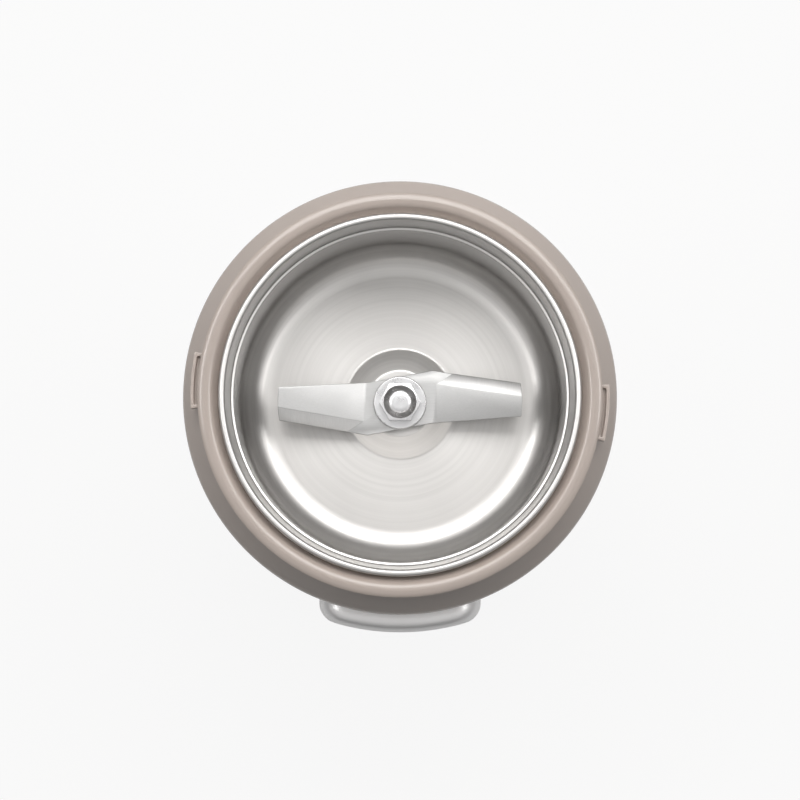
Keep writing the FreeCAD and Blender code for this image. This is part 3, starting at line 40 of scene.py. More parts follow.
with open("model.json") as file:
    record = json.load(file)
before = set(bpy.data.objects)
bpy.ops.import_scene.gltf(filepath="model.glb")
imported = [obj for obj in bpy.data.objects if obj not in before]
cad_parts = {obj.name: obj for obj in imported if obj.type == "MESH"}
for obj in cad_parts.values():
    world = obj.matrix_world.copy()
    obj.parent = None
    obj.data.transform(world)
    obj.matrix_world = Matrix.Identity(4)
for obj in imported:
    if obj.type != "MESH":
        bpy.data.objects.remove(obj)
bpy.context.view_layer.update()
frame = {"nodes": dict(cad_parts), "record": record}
cad = frame["nodes"]

# Sizes shared by several pieces.
BODY_RADIUS = 51.98
BODY_WALL = 2.5
RIM_RADIUS = 46.2
RIM_LIFT = 2.0
TAPER_TOP = 60.0
SHOULDER_Z = 127.6
SHELL_TOP = 134.0
BUTTON_MIDDLE = 110.0
BUTTON_HALF_WIDE = 19.5
BUTTON_HALF_TALL = 12.0
BUTTON_CORNER = 6.0
BUTTON_FRONT = 56.3
BUTTON_GAP = 0.3
CORD_Z = 13.0
CORD_HOLE = 4.5
FLOOR_Z = 95.1


# Outlines

def softened(corners, arc_step=9.0, margin=0.35):
    """A closed outline from rounded corners (across, up, radius), with end points on its long straights."""
    points = []
    count = len(corners)
    for i, (across, up, radius) in enumerate(corners):
        here = Vector((across, up))
        back = Vector(corners[i - 1][:2]) - here
        ahead = Vector(corners[(i + 1) % count][:2]) - here
        opening = back.angle(ahead)
        if radius <= 0 or opening > math.radians(179.5):
            points.append(here)
            continue
        reach = min(radius / math.tan(opening / 2), back.length * 0.495, ahead.length * 0.495)
        radius = reach * math.tan(opening / 2)
        inwards = (back.normalized() + ahead.normalized()).normalized()
        middle = here + inwards * (radius / math.sin(opening / 2))
        first = here + back.normalized() * reach - middle
        last = here + ahead.normalized() * reach - middle
        sweep = math.atan2(first.x * last.y - first.y * last.x, first.dot(last))
        steps = max(2, math.ceil(abs(math.degrees(sweep)) / arc_step))
        for k in range(steps + 1):
            turn = sweep * k / steps
            points.append(middle + Vector((
                first.x * math.cos(turn) - first.y * math.sin(turn),
                first.x * math.sin(turn) + first.y * math.cos(turn),
            )))
    filled = []
    for i, point in enumerate(points):
        filled.append(point)
        run = points[(i + 1) % len(points)] - point
        if run.length > 3 * margin:
            filled.append(point + run.normalized() * margin)
            filled.append(point + run.normalized() * (run.length - margin))
    return filled


# Meshes

def mesh_of(name, build, smooth_below=32.0):
    """A mesh from a build in millimetres, welded, with its faces outwards and its sharp edges marked."""
    bmesh.ops.remove_doubles(build, verts=build.verts, dist=1e-4)
    bmesh.ops.dissolve_degenerate(build, edges=build.edges, dist=1e-4)
    bmesh.ops.recalc_face_normals(build, faces=build.faces)
    return plain_mesh(name, build, smooth_below)


def shade(made, smooth_below=32.0):
    made.shade_smooth()
    made.set_sharp_from_angle(angle=math.radians(smooth_below))


def piece(name, made, finish, body, slot, *nodes):
    """A finished piece of the object: its mesh, its material, and the body that it rides on."""
    made.name = name
    new = bpy.data.objects.new(name, made)
    bpy.context.scene.collection.objects.link(new)
    if not made.materials:
        made.materials.append(finish)
    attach(new, body)
    if nodes:
        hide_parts(*nodes)
    return new


def welded_copy(node):
    """The CAD node's triangles in millimetres, joined at their corners."""
    build = bmesh.new()
    build.from_mesh(cad[node].data)
    bmesh.ops.scale(build, vec=(1 / MM, 1 / MM, 1 / MM), verts=build.verts)
    bmesh.ops.remove_doubles(build, verts=build.verts, dist=2e-3)
    return build


def add_mesh_of(part, build):
    """Adds a part's faces to a build, and frees the part."""
    spare = bpy.data.meshes.new("spare")
    part.to_mesh(spare)
    part.free()
    build.from_mesh(spare)
    bpy.data.meshes.remove(spare)


def plain_mesh(name, build, smooth_below=32.0):
    """A mesh from a build in millimetres whose faces are already right."""
    bmesh.ops.scale(build, vec=(MM, MM, MM), verts=build.verts)
    made = bpy.data.meshes.new(name)
    build.to_mesh(made)
    build.free()
    shade(made, smooth_below)
    return made


def copy_of(node):
    """The CAD node's shape in millimetres, welded, with its flat faces whole."""
    build = welded_copy(node)
    bmesh.ops.dissolve_degenerate(build, edges=build.edges, dist=1e-3)
    bmesh.ops.dissolve_limit(build, angle_limit=math.radians(0.6), verts=build.verts, edges=build.edges)
    return build


def round_edges(build, width, above=28.0, steps=2, wanted=lambda edge: True):
    """Rounds the edges that are sharper than an angle."""
    edges = [
        edge for edge in build.edges
        if len(edge.link_faces) == 2 and edge.calc_face_angle(0) > math.radians(above) and wanted(edge)
    ]
    bmesh.ops.bevel(
        build, geom=edges, offset=width, offset_type="OFFSET", segments=steps, profile=0.5, affect="EDGES",
        clamp_overlap=True, miter_outer="ARC",
    )
    return build


def rings_between(build, rings, closed=True):
    """Joins rows of vertices, all of one length, with quads."""
    for low, high in zip(rings, rings[1:]):
        count = len(low)
        for i in range(count if closed else count - 1):
            after = (i + 1) % count
            build.faces.new((low[i], low[after], high[after], high[i]))


def lathe_about_y(build, outline, z, segments=64):
    """Turns a closed outline (distance along Y, radius) about a line along Y at a height."""
    turns = [math.tau * i / segments for i in range(segments)]
    rings = [
        [build.verts.new((radius * math.cos(turn), along, z + radius * math.sin(turn))) for turn in turns]
        for along, radius in outline
    ]
    rings_between(build, rings + rings[:1])


# Node trees that make meshes

def new_tree(name, inputs):
    """A geometry tree with named inputs and one geometry output."""
    tree = bpy.data.node_groups.new(name, "GeometryNodeTree")
    for word, kind in inputs:
        tree.interface.new_socket(name=word, in_out="INPUT", socket_type="NodeSocket" + kind)
    tree.interface.new_socket(name="Geometry", in_out="OUTPUT", socket_type="NodeSocketGeometry")
    return tree


def add(tree, kind, sockets=None, **settings):
    """A node with its settings, and its inputs as numbers or as another node's output."""
    node = tree.nodes.new(kind)
    for word, setting in settings.items():
        setattr(node, word, setting)
    for place, value in (sockets or {}).items():
        if isinstance(value, bpy.types.NodeSocket):
            tree.links.new(value, node.inputs[place])
        else:
            node.inputs[place].default_value = value
    return node


def maths(tree, operation, first, second=0.0, third=0.0):
    return add(tree, "ShaderNodeMath", {0: first, 1: second, 2: third}, operation=operation).outputs[0]


def close_tree(tree, geometry, material):
    """The tree's end: everything is made real and takes its material."""
    real = add(tree, "GeometryNodeRealizeInstances", {0: geometry}).outputs[0]
    painted = add(tree, "GeometryNodeSetMaterial", {"Geometry": real, "Material": material}).outputs[0]
    add(tree, "NodeGroupOutput", {0: painted})


def turning_tree():
    """Turns an outline, given as a chain of points (radius, 0, height), once about the upright axis."""
    tree = new_tree("turned_round_the_axis", [
        ("Geometry", "Geometry"), ("Segments", "Int"), ("Material", "Material"),
    ])
    given = add(tree, "NodeGroupInput").outputs
    count = add(tree, "GeometryNodeAttributeDomainSize", {0: given["Geometry"]}, component="MESH").outputs[0]
    rows = maths(tree, "SUBTRACT", count, 1.0)
    grid = add(tree, "GeometryNodeMeshGrid", {
        "Size X": given["Segments"],
        "Size Y": rows,
        "Vertices X": maths(tree, "ADD", given["Segments"], 1.0),
        "Vertices Y": count,
    }).outputs[0]
    spot = add(tree, "ShaderNodeSeparateXYZ", {0: add(tree, "GeometryNodeInputPosition").outputs[0]}).outputs
    column = maths(tree, "ADD", spot["X"], maths(tree, "MULTIPLY", given["Segments"], 0.5))
    row = maths(tree, "ROUND", maths(tree, "ADD", spot["Y"], maths(tree, "MULTIPLY", rows, 0.5)))
    sample = add(tree, "GeometryNodeSampleIndex", data_type="FLOAT_VECTOR", domain="POINT")
    tree.links.new(given["Geometry"], sample.inputs["Geometry"])
    tree.links.new(add(tree, "GeometryNodeInputPosition").outputs[0], sample.inputs["Value"])
    tree.links.new(row, sample.inputs["Index"])
    outline = add(tree, "ShaderNodeSeparateXYZ", {0: sample.outputs[0]}).outputs
    angle = maths(tree, "MULTIPLY", maths(tree, "DIVIDE", column, given["Segments"]), math.tau)
    placed = add(tree, "ShaderNodeCombineXYZ", {
        "X": maths(tree, "MULTIPLY", outline["X"], maths(tree, "COSINE", angle)),
        "Y": maths(tree, "MULTIPLY", outline["X"], maths(tree, "SINE", angle)),
        "Z": outline["Z"],
    }).outputs[0]
    moved = add(tree, "GeometryNodeSetPosition", {"Geometry": grid, "Position": placed}).outputs[0]
    welded = add(tree, "GeometryNodeMergeByDistance", {"Geometry": moved, "Distance": 1e-7}).outputs[0]
    close_tree(tree, welded, given["Material"])
    return tree


def winding_tree():
    """Winds round wire into a spring along +Y."""
    tree = new_tree("wound_spring", [
        ("Turns", "Float"), ("Radius", "Float"), ("Length", "Float"), ("Wire", "Float"), ("Start", "Vector"),
        ("Material", "Material"),
    ])
    given = add(tree, "NodeGroupInput").outputs
    coil = add(tree, "GeometryNodeCurveSpiral", {
        "Resolution": 40,
        "Rotations": given["Turns"],
        "Start Radius": given["Radius"],
        "End Radius": given["Radius"],
        "Height": given["Length"],
    }).outputs[0]
    section = add(tree, "GeometryNodeCurvePrimitiveCircle", {
        "Resolution": 10, "Radius": given["Wire"],
    }).outputs[0]
    wire = add(tree, "GeometryNodeCurveToMesh", {
        "Curve": coil, "Profile Curve": section, "Fill Caps": True,
    }).outputs[0]
    laid = add(tree, "GeometryNodeTransform", {
        "Geometry": wire, "Translation": given["Start"], "Rotation": (-math.pi / 2, 0.0, 0.0),
    }).outputs[0]
    close_tree(tree, laid, given["Material"])
    return tree


def repeating_tree():
    """Puts a copy of a piece at each given point."""
    tree = new_tree("copies_at_points", [
        ("Geometry", "Geometry"), ("Piece", "Object"), ("Material", "Material"),
    ])
    given = add(tree, "NodeGroupInput").outputs
    shape = add(tree, "GeometryNodeObjectInfo", {"Object": given["Piece"]}).outputs["Geometry"]
    copies = add(tree, "GeometryNodeInstanceOnPoints", {
        "Points": given["Geometry"], "Instance": shape,
    }).outputs[0]
    close_tree(tree, copies, given["Material"])
    return tree


def run_tree(name, tree, values, points=()):
    """The plain mesh that a tree makes from its inputs."""
    start = bpy.data.meshes.new(name + "_start")
    chain = [(i, i + 1) for i in range(len(points) - 1)]
    start.from_pydata([tuple(MM * c for c in point) for point in points], chain, [])
    holder = bpy.data.objects.new(name + "_holder", start)
    bpy.context.scene.collection.objects.link(holder)
    modifier = holder.modifiers.new("tree", "NODES")
    modifier.node_group = tree
    for item in tree.interface.items_tree:
        if item.in_out == "INPUT" and item.name in values:
            modifier[item.identifier] = values[item.name]
    graph = bpy.context.evaluated_depsgraph_get()
    made = bpy.data.meshes.new_from_object(holder.evaluated_get(graph))
    holder.modifiers.remove(modifier)
    bpy.data.objects.remove(holder)
    build = bmesh.new()
    build.from_mesh(made)
    bmesh.ops.recalc_face_normals(build, faces=build.faces)
    build.to_mesh(made)
    build.free()
    shade(made)
    return made


def turned(name, corners, finish, segments=256, arc_step=9.0):
    """A turned piece from its rounded cross-section, each corner as (radius, height, rounding)."""
    outline = softened(corners, arc_step)
    points = [(p.x, 0.0, p.y) for p in outline + outline[:1]]
    return run_tree(name, TURNING, {"Segments": segments, "Material": finish}, points)


TURNING = turning_tree()
WINDING = winding_tree()
REPEATING = repeating_tree()


# Finishes

class Paint:
    """A material with one main shader, fed by short chains of nodes."""

    def __init__(self, name, colour, rough, metal=0.0, **shader):
        self.material = bpy.data.materials.new(name)
        self.material.use_nodes = True
        self.tree = self.material.node_tree
        self.tree.nodes.clear()
        self.main = add(self.tree, "ShaderNodeBsdfPrincipled")
        self.main.inputs["Base Color"].default_value = (*colour, 1.0)
        self.main.inputs["Roughness"].default_value = rough
        self.main.inputs["Metallic"].default_value = metal
        for word, value in shader.items():
            self.main.inputs[word.replace("_", " ")].default_value = value
        end = add(self.tree, "ShaderNodeOutputMaterial")
        self.tree.links.new(self.main.outputs[0], end.inputs["Surface"])
        self.place = add(self.tree, "ShaderNodeTexCoord").outputs["Object"]
        self.height = None

    def put(self, socket, place):
        self.tree.links.new(socket, self.main.inputs[place])
        return self

    def noise(self, per_metre, detail=3.0, rough=0.5, vector=None):
        return add(self.tree, "ShaderNodeTexNoise", {
            "Vector": vector or self.place, "Scale": per_metre, "Detail": detail, "Roughness": rough,
        }).outputs[0]

    def stretch(self, x, y, z):
        """Coordinates that run slower or faster along each axis."""
        return add(
            self.tree, "ShaderNodeVectorMath", {0: self.place, 1: (x, y, z)}, operation="MULTIPLY",
        ).outputs[0]

    def round_coordinates(self, along=0.0):
        """Distance from the axis and height, moved a little by the angle, for marks that run round."""
        spot = add(self.tree, "ShaderNodeSeparateXYZ", {0: self.place}).outputs
        flat = add(self.tree, "ShaderNodeCombineXYZ", {0: spot["X"], 1: spot["Y"]}).outputs[0]
        radius = add(self.tree, "ShaderNodeVectorMath", {0: flat}, operation="LENGTH").outputs["Value"]
        drift = add(self.tree, "ShaderNodeVectorMath", {0: flat}, operation="NORMALIZE").outputs[0]
        around = add(
            self.tree, "ShaderNodeVectorMath", {0: drift, "Scale": along}, operation="SCALE",
        ).outputs[0]
        rise = add(self.tree, "ShaderNodeCombineXYZ", {0: radius, 1: spot["Z"], 2: 0.0}).outputs[0]
        return add(self.tree, "ShaderNodeVectorMath", {0: rise, 1: around}, operation="ADD").outputs[0]

    def between(self, value, low, high, from_low=0.3, from_high=0.7):
        """A value moved from one range to another."""
        return add(self.tree, "ShaderNodeMapRange", {
            "Value": value, "From Min": from_low, "From Max": from_high, "To Min": low, "To Max": high,
        }).outputs[0]

    def colours(self, value, first, last, from_low=0.3, from_high=0.7):
        """A blend of two colours by a value."""
        share = self.between(value, 0.0, 1.0, from_low, from_high)
        mix = add(self.tree, "ShaderNodeMix", data_type="RGBA")
        self.tree.links.new(share, mix.inputs[0])
        for place, colour in ((6, first), (7, last)):
            if isinstance(colour, bpy.types.NodeSocket):
                self.tree.links.new(colour, mix.inputs[place])
            else:
                mix.inputs[place].default_value = (*colour, 1.0)
        return mix.outputs[2]

    def raise_by(self, value, depth, strength=1.0):
        """Adds relief of a depth in metres."""
        bump = add(self.tree, "ShaderNodeBump", {"Height": value, "Distance": depth, "Strength": strength})
        if self.height:
            self.tree.links.new(self.height, bump.inputs["Normal"])
        self.height = bump.outputs[0]
        return self.put(self.height, "Normal")


def tone(colour, by):
    return tuple(min(1.0, c * by) for c in colour)


def moulded(name, colour, rough, grain=2600.0, depth=0.00001, spread=0.06, **shader):
    """Moulded plastic: a fine spark-eroded grain, and slow drifts of tone and gloss."""
    paint = Paint(name, colour, rough, IOR=1.5, **shader)
    drift = paint.noise(28.0, 4.0, 0.6)
    paint.put(paint.colours(drift, tone(colour, 0.965), tone(colour, 1.03)), "Base Color")
    fine = paint.noise(grain, 2.0, 0.6)
    slow_gloss = paint.between(drift, rough - spread, rough + spread * 0.6)
    paint.put(maths(paint.tree, "ADD", slow_gloss, paint.between(fine, -0.03, 0.03)), "Roughness")
    paint.raise_by(paint.noise(90.0, 2.0), 0.00002, 0.35)
    return paint.raise_by(fine, depth, 0.6).material


def spun_steel(name, colour, rough, lines=9000.0, depth=0.000004):
    """Steel turned or spun on the axis: fine unbroken lines round it, with a few deeper ones."""
    paint = Paint(name, colour, rough, 1.0, Anisotropic=0.55)
    fine = paint.noise(lines, 4.0, 0.75, paint.round_coordinates(0.00002))
    broad = paint.noise(900.0, 3.0, 0.6, paint.round_coordinates(0.0004))
    cloud = paint.noise(45.0, 3.0, 0.6)
    paint.put(paint.colours(broad, tone(colour, 0.93), tone(colour, 1.04)), "Base Color")
    line_gloss = paint.between(fine, rough - 0.05, rough + 0.08)
    paint.put(maths(paint.tree, "ADD", line_gloss, paint.between(cloud, -0.03, 0.04)), "Roughness")
    paint.raise_by(broad, 0.00001, 0.5)
    return paint.raise_by(fine, depth, 0.5).material


def ground_steel(name, colour, rough, along=(1.0, 24.0, 24.0), depth=0.000012):
    """Steel ground along one direction, with longer scratches here and there."""
    paint = Paint(name, colour, rough, 1.0)
    lines = paint.noise(260.0, 5.0, 0.8, paint.stretch(*along))
    scuffs = paint.noise(70.0, 4.0, 0.7)
    paint.put(paint.colours(lines, tone(colour, 0.86), tone(colour, 1.06)), "Base Color")
    line_gloss = paint.between(lines, rough - 0.05, rough + 0.1)
    paint.put(maths(paint.tree, "ADD", line_gloss, paint.between(scuffs, -0.04, 0.08)), "Roughness")
    return paint.raise_by(lines, depth, 0.5).material


def plated(name, colour, rough):
    """Bright plating with a faint haze."""
    paint = Paint(name, colour, rough, 1.0)
    haze = paint.noise(180.0, 4.0, 0.65)
    paint.put(paint.colours(haze, tone(colour, 0.9), tone(colour, 1.05)), "Base Color")
    paint.put(paint.between(haze, rough - 0.05, rough + 0.12), "Roughness")
    return paint.raise_by(paint.noise(1500.0, 2.0), 0.000004, 0.4).material


def zinc_plated(name, colour, rough):
    """Pressed sheet with the faint patches of zinc plating."""
    paint = Paint(name, colour, rough, 0.95)
    patch = add(paint.tree, "ShaderNodeTexVoronoi", {"Vector": paint.place, "Scale": 240.0}).outputs["Color"]
    grey = add(paint.tree, "ShaderNodeSeparateColor", {0: patch}).outputs[0]
    paint.put(paint.colours(grey, tone(colour, 0.86), tone(colour, 1.08), 0.0, 1.0), "Base Color")
    paint.put(paint.between(grey, rough - 0.06, rough + 0.1, 0.0, 1.0), "Roughness")
    return paint.raise_by(paint.noise(700.0, 3.0), 0.000008, 0.4).material


def laminated(name, colour, rough, sheet=0.0005):
    """Stacked sheet steel: a thin dark line between the sheets, stained in patches."""
    paint = Paint(name, colour, rough, 0.9)
    spot = add(paint.tree, "ShaderNodeSeparateXYZ", {0: paint.place}).outputs
    step = maths(paint.tree, "FRACT", maths(paint.tree, "DIVIDE", spot["Z"], sheet))
    from_middle = maths(paint.tree, "ABSOLUTE", maths(paint.tree, "SUBTRACT", step, 0.5))
    seam = paint.between(from_middle, 0.0, 1.0, 0.5, 0.3)
    stain = paint.colours(paint.noise(160.0, 4.0, 0.7), tone(colour, 0.7), tone(colour, 1.1))
    paint.put(paint.colours(seam, tone(colour, 0.35), stain, 0.0, 1.0), "Base Color")
    paint.put(paint.between(paint.noise(300.0), rough - 0.08, rough + 0.12), "Roughness")
    return paint.raise_by(seam, 0.00003, 0.5).material


def wound_wire(name, colour, rough, wire=0.00045):
    """Layers of thin enamelled wire, laid round the axis and a little crossed, under varnish, with painted
    shade in the grooves between the turns and a painted highlight on their crests.
    """
    paint = Paint(name, colour, rough, 0.35, Coat_Weight=0.6, Coat_Roughness=0.18)
    spot = add(paint.tree, "ShaderNodeSeparateXYZ", {0: paint.place}).outputs
    wander = paint.between(paint.noise(220.0, 2.0), -0.0003, 0.0003)
    crossed = maths(paint.tree, "MULTIPLY", spot["X"], 0.35)
    lay = maths(paint.tree, "ADD", maths(paint.tree, "ADD", spot["Y"], crossed), wander)
    wave = maths(paint.tree, "SINE", maths(paint.tree, "MULTIPLY", lay, math.pi / wire))
    ridge = maths(paint.tree, "ABSOLUTE", wave)
    # Painted shade and highlight: the colour is darkened in the grooves between turns and lightened on the
    # crests.
    paint.put(paint.colours(ridge, tone(colour, 0.35), tone(colour, 1.15), 0.0, 0.8), "Base Color")
    return paint.raise_by(ridge, 0.0001, 0.8).material


def bare_metal(name, colour, rough, pores=0.0):
    """Copper, brass or bronze, a little uneven in tone, with pores where it is sintered."""
    paint = Paint(name, colour, rough, 1.0)
    drift = paint.noise(120.0, 4.0, 0.65)
    paint.put(paint.colours(drift, tone(colour, 0.78), tone(colour, 1.1)), "Base Color")
    paint.put(paint.between(drift, rough - 0.06, rough + 0.12), "Roughness")
    paint.raise_by(paint.noise(2200.0, 3.0, 0.7), 0.000006 + pores, 0.5)
    return paint.material


def rubber(name, colour, rough=0.72):
    """Moulded rubber: matt, a little dusty, with a fine uneven skin."""
    paint = Paint(name, colour, rough, IOR=1.48)
    dust = paint.noise(60.0, 5.0, 0.7)
    paint.put(paint.colours(dust, tone(colour, 0.9), tuple(c * 1.15 + 0.006 for c in colour)), "Base Color")
    paint.put(paint.between(dust, rough - 0.06, rough + 0.1), "Roughness")
    return paint.raise_by(paint.noise(1800.0, 3.0, 0.7), 0.000016, 0.6).material


TAUPE = (0.485, 0.415, 0.374)
FINISH = {
    "body_plastic": moulded("taupe_moulding", TAUPE, 0.4, Coat_Weight=0.8, Coat_Roughness=0.16),
    "button_plastic": moulded("pale_button_moulding", (0.92, 0.915, 0.92), 0.36, Metallic=0.5),
    "bowl_steel": spun_steel("spun_bowl_steel", (0.58, 0.57, 0.56), 0.4),
    "blade_steel": ground_steel("ground_blade_steel", (0.43, 0.43, 0.43), 0.44),
    "plated_steel": plated("bright_plating", (0.62, 0.62, 0.63), 0.26),
    "rubber_dark": rubber("dark_rubber", (0.022, 0.022, 0.022)),
    "rubber_grey": rubber("grey_rubber", (0.16, 0.15, 0.145)),
    "motor_steel": laminated("stacked_motor_sheet", (0.42, 0.43, 0.45), 0.42),
    "zinc_sheet": zinc_plated("zinc_plated_sheet", (0.60, 0.62, 0.64), 0.36),
    "bronze": bare_metal("sintered_bronze", (0.55, 0.36, 0.18), 0.42, 0.00001),
    "copper": bare_metal("turned_copper", (0.80, 0.42, 0.26), 0.28),
    "enamelled_wire": wound_wire("enamelled_wire", (0.42, 0.11, 0.03), 0.34),
    "brass": bare_metal("stamped_brass", (0.78, 0.58, 0.25), 0.3),
    "black_plastic": moulded("black_moulding", (0.02, 0.02, 0.021), 0.45),
    "brown_plastic": moulded("brown_phenolic", (0.055, 0.02, 0.012), 0.36),
    "carbon": moulded("pressed_carbon", (0.018, 0.018, 0.02), 0.5, 4000.0, 0.00002),
    "spring_steel": ground_steel("drawn_spring_wire", (0.56, 0.56, 0.58), 0.3, (20.0, 20.0, 20.0)),
}
for row in frame["record"]["subparts"]:
    finished = cad[row["node"]]
    finished.data.materials.clear()
    finished.data.materials.append(FINISH[row["material_slot"]])


# Body shell

def even_points(path, count):
    """Evenly spaced points along a closed path, from its first point."""
    lengths = [(path[(i + 1) % len(path)] - p).length for i, p in enumerate(path)]
    whole = sum(lengths)
    points = []
    i = 0
    done = 0.0
    for k in range(count):
        wanted = whole * k / count
        while done + lengths[i] < wanted - 1e-9:
            done += lengths[i]
            i += 1
        points.append(path[i].lerp(path[(i + 1) % len(path)], (wanted - done) / lengths[i]))
    return points


def window_edge(half_wide, half_tall, corner, middle_z):
    """A rounded window, as a function that gives its points anticlockwise from its lowest middle point."""

    def points(out, count):
        """Evenly spaced points at a distance outside the window's edge."""
        wide = half_wide + out
        tall = half_tall + out
        bend = corner + out
        path = [Vector((0.0, -tall))]
        for turn, sign_x, sign_y in ((-90, 1, -1), (0, 1, 1), (90, -1, 1), (180, -1, -1)):
            for k in range(25):
                angle = math.radians(turn + 90 * k / 24)
                path.append(Vector((
                    sign_x * (wide - bend) + bend * math.cos(angle),
                    sign_y * (tall - bend) + bend * math.sin(angle),
                )))
        return [Vector((p.x, p.y + middle_z)) for p in even_points(path, count)]

    return points


def body_moulding():
    """The body: tapered foot, straight wall, steep shoulder, the button's window and the cord's hole."""
    segments = 256
    slope = (BODY_RADIUS - RIM_RADIUS) / (TAPER_TOP - RIM_LIFT)
    inner = BODY_RADIUS - BODY_WALL
    skin = softened([
        (RIM_RADIUS, RIM_LIFT, 1.1),
        (BODY_RADIUS, TAPER_TOP, 180.0),
        (BODY_RADIUS, SHOULDER_Z, 3.0),
        (47.6, SHELL_TOP, 0.5),
        (45.1, SHELL_TOP, 0.1),
        (45.1, 130.7, 0.2),
        (inner, 126.6, 1.0),
        (inner, TAPER_TOP, 180.0),
        (RIM_RADIUS - BODY_WALL, RIM_LIFT, 0.4),
    ], arc_step=6.0)
    # Rows of the grid that the two openings need are added to both sides of the wall.
    button_rows = [BUTTON_MIDDLE - 16.0 + 1.55 * k for k in range(21)]
    cord_rows = [CORD_Z - 8.4 + 1.5 * k for k in range(12)]
    rows = []
    for i, point in enumerate(skin):
        rows.append(point)
        after = skin[(i + 1) % len(skin)]
        lowest = min(point.y, after.y) + 0.02
        highest = max(point.y, after.y) - 0.02
        levels = [z for z in button_rows + cord_rows if lowest < z < highest]
        if abs(after.y - point.y) > 1.0:
            for z in sorted(levels, reverse=after.y < point.y):
                rows.append(point.lerp(after, (z - point.y) / (after.y - point.y)))
    build = bmesh.new()
    turns = [math.tau * j / segments for j in range(segments)]
    grid = [
        [build.verts.new((p.x * math.cos(turn), p.x * math.sin(turn), p.y)) for turn in turns]
        for p in rows
    ]
    button_window = window_edge(
        BUTTON_HALF_WIDE + BUTTON_GAP, BUTTON_HALF_TALL + BUTTON_GAP, BUTTON_CORNER + BUTTON_GAP,
        BUTTON_MIDDLE,
    )
    cord_hole = window_edge(CORD_HOLE, CORD_HOLE, CORD_HOLE - 0.001, CORD_Z)
    # Each opening has the way it faces in degrees, half its width in columns of the grid, its rows,
    # its edge and the rounding of that edge.
    openings = [
        (-90, 20, button_rows, button_window, 0.5),
        (90, 7, cord_rows, cord_hole, 0.3),
    ]
    top_row = max(range(len(rows)), key=lambda k: rows[k].y)
    taken = set()
    for facing, half_columns, opening_rows, edge_points, edge_round in openings:
        columns = [(segments * facing // 360 + k) % segments for k in range(-half_columns, half_columns + 1)]
        mouths = []
        for outer in (True, False):
            side = range(0, top_row) if outer else range(len(rows) - 1, top_row, -1)
            low_z = opening_rows[0] - 0.05
            high_z = opening_rows[-1] + 0.05
            levels = [k for k in side if low_z <= rows[k].y <= high_z and rows[k].x > 40]
            for a, b in zip(levels, levels[1:]):
                for j in columns[:-1]:
                    taken.add((min(a, b), j))
            frame_ring = (
                [grid[levels[0]][j] for j in columns[half_columns:]]
                + [grid[k][columns[-1]] for k in levels[1:]]
                + [grid[levels[-1]][j] for j in reversed(columns[:-1])]
                + [grid[k][columns[0]] for k in reversed(levels[:-1])]
                + [grid[levels[0]][j] for j in columns[1:half_columns]]
            )
            mouths.append((frame_ring, [rows[k] for k in levels]))
        out = Vector((math.cos(math.radians(facing)), math.sin(math.radians(facing)), 0.0))
        right = Vector((-out.y, out.x, 0.0))

        def on_wall(spot, wall_rows, depth=0.0):
            """The point of the wall behind a spot of the opening's flat view, moved inwards by a depth."""
            for a, b in zip(wall_rows, wall_rows[1:]):
                if min(a.y, b.y) - 1e-6 <= spot.y <= max(a.y, b.y) + 1e-6:
                    radius = a.lerp(b, (spot.y - a.y) / (b.y - a.y)).x
                    break
            forward = math.sqrt(radius ** 2 - spot.x ** 2) - depth
            return out * forward + right * spot.x + Vector((0, 0, spot.y))

        walls = []
        for outer, (frame_ring, wall_rows) in zip((True, False), mouths):
            count = len(frame_ring)
            rim = edge_round if outer else 0.0
            start = [Vector((vert.co.dot(right), vert.co.z)) for vert in frame_ring]
            end = edge_points(rim, count)
            rings = [frame_ring]
            for share in (0.35, 0.65, 0.88, 1.0):
                rings.append([
                    build.verts.new(on_wall(a.lerp(b, share), wall_rows)) for a, b in zip(start, end)
                ])
            if outer:
                for k in range(1, 5):
                    angle = math.radians(90 * k / 4)
                    spots = edge_points(rim * (1 - math.sin(angle)), count)
                    rings.append([
                        build.verts.new(on_wall(s, wall_rows, rim * (1 - math.cos(angle)))) for s in spots
                    ])
            rings_between(build, rings)
            walls.append(rings[-1])
        rings_between(build, walls)
    for k, row in enumerate(grid):
        next_row = grid[(k + 1) % len(grid)]
        for j in range(segments):
            beside = (j + 1) % segments
            if (k, j) not in taken:
                build.faces.new((row[j], row[beside], next_row[beside], next_row[j]))
    bmesh.ops.recalc_face_normals(build, faces=build.faces)

    # The deck, hub, ribs and screw posts inside keep their CAD form.
    inside = welded_copy("body_shell")

    def inner_radius(z):
        return inner if z > TAPER_TOP else RIM_RADIUS - BODY_WALL + (z - RIM_LIFT) * slope

    def on_the_wall(face):
        """True for the CAD wall's own faces, with its shoulder and its lower rim."""
        middle = face.calc_center_median()
        spots = [v.co for v in face.verts]
        if all(math.hypot(c.x, c.y) > inner_radius(c.z) - 0.12 for c in spots):
            return True
        return middle.z > 124.0 or middle.z < RIM_LIFT + 0.2

    bmesh.ops.delete(inside, geom=[f for f in inside.faces if on_the_wall(f)], context="FACES")
    add_mesh_of(inside, build)
    return plain_mesh("body_moulding", build)


# Collar

def collar_ring(finish):
    """The ring round the bowl: a wide rounded ridge that slopes down inside to the bowl's hem."""
    return turned("collar_ring", [
        (43.1, 127.5, 0.3),
        (45.0, 127.5, 0.4),
        (45.0, 134.0, 0.1),
        (47.85, 134.0, 0.3),
        (47.85, 139.54, 0.25),
        (47.42, 139.828, 3.0),
        (46.6, 140.089, 3.0),
        (45.74, 140.109, 3.0),
        (44.75, 139.844, 1.8),
        (43.05, 137.818, 0.25),
        (43.05, 137.4, 0.1),
        (42.2, 137.4, 0.1),
        (42.2, 135.0, 0.3),
        (43.1, 134.2, 0.3),
    ], finish)


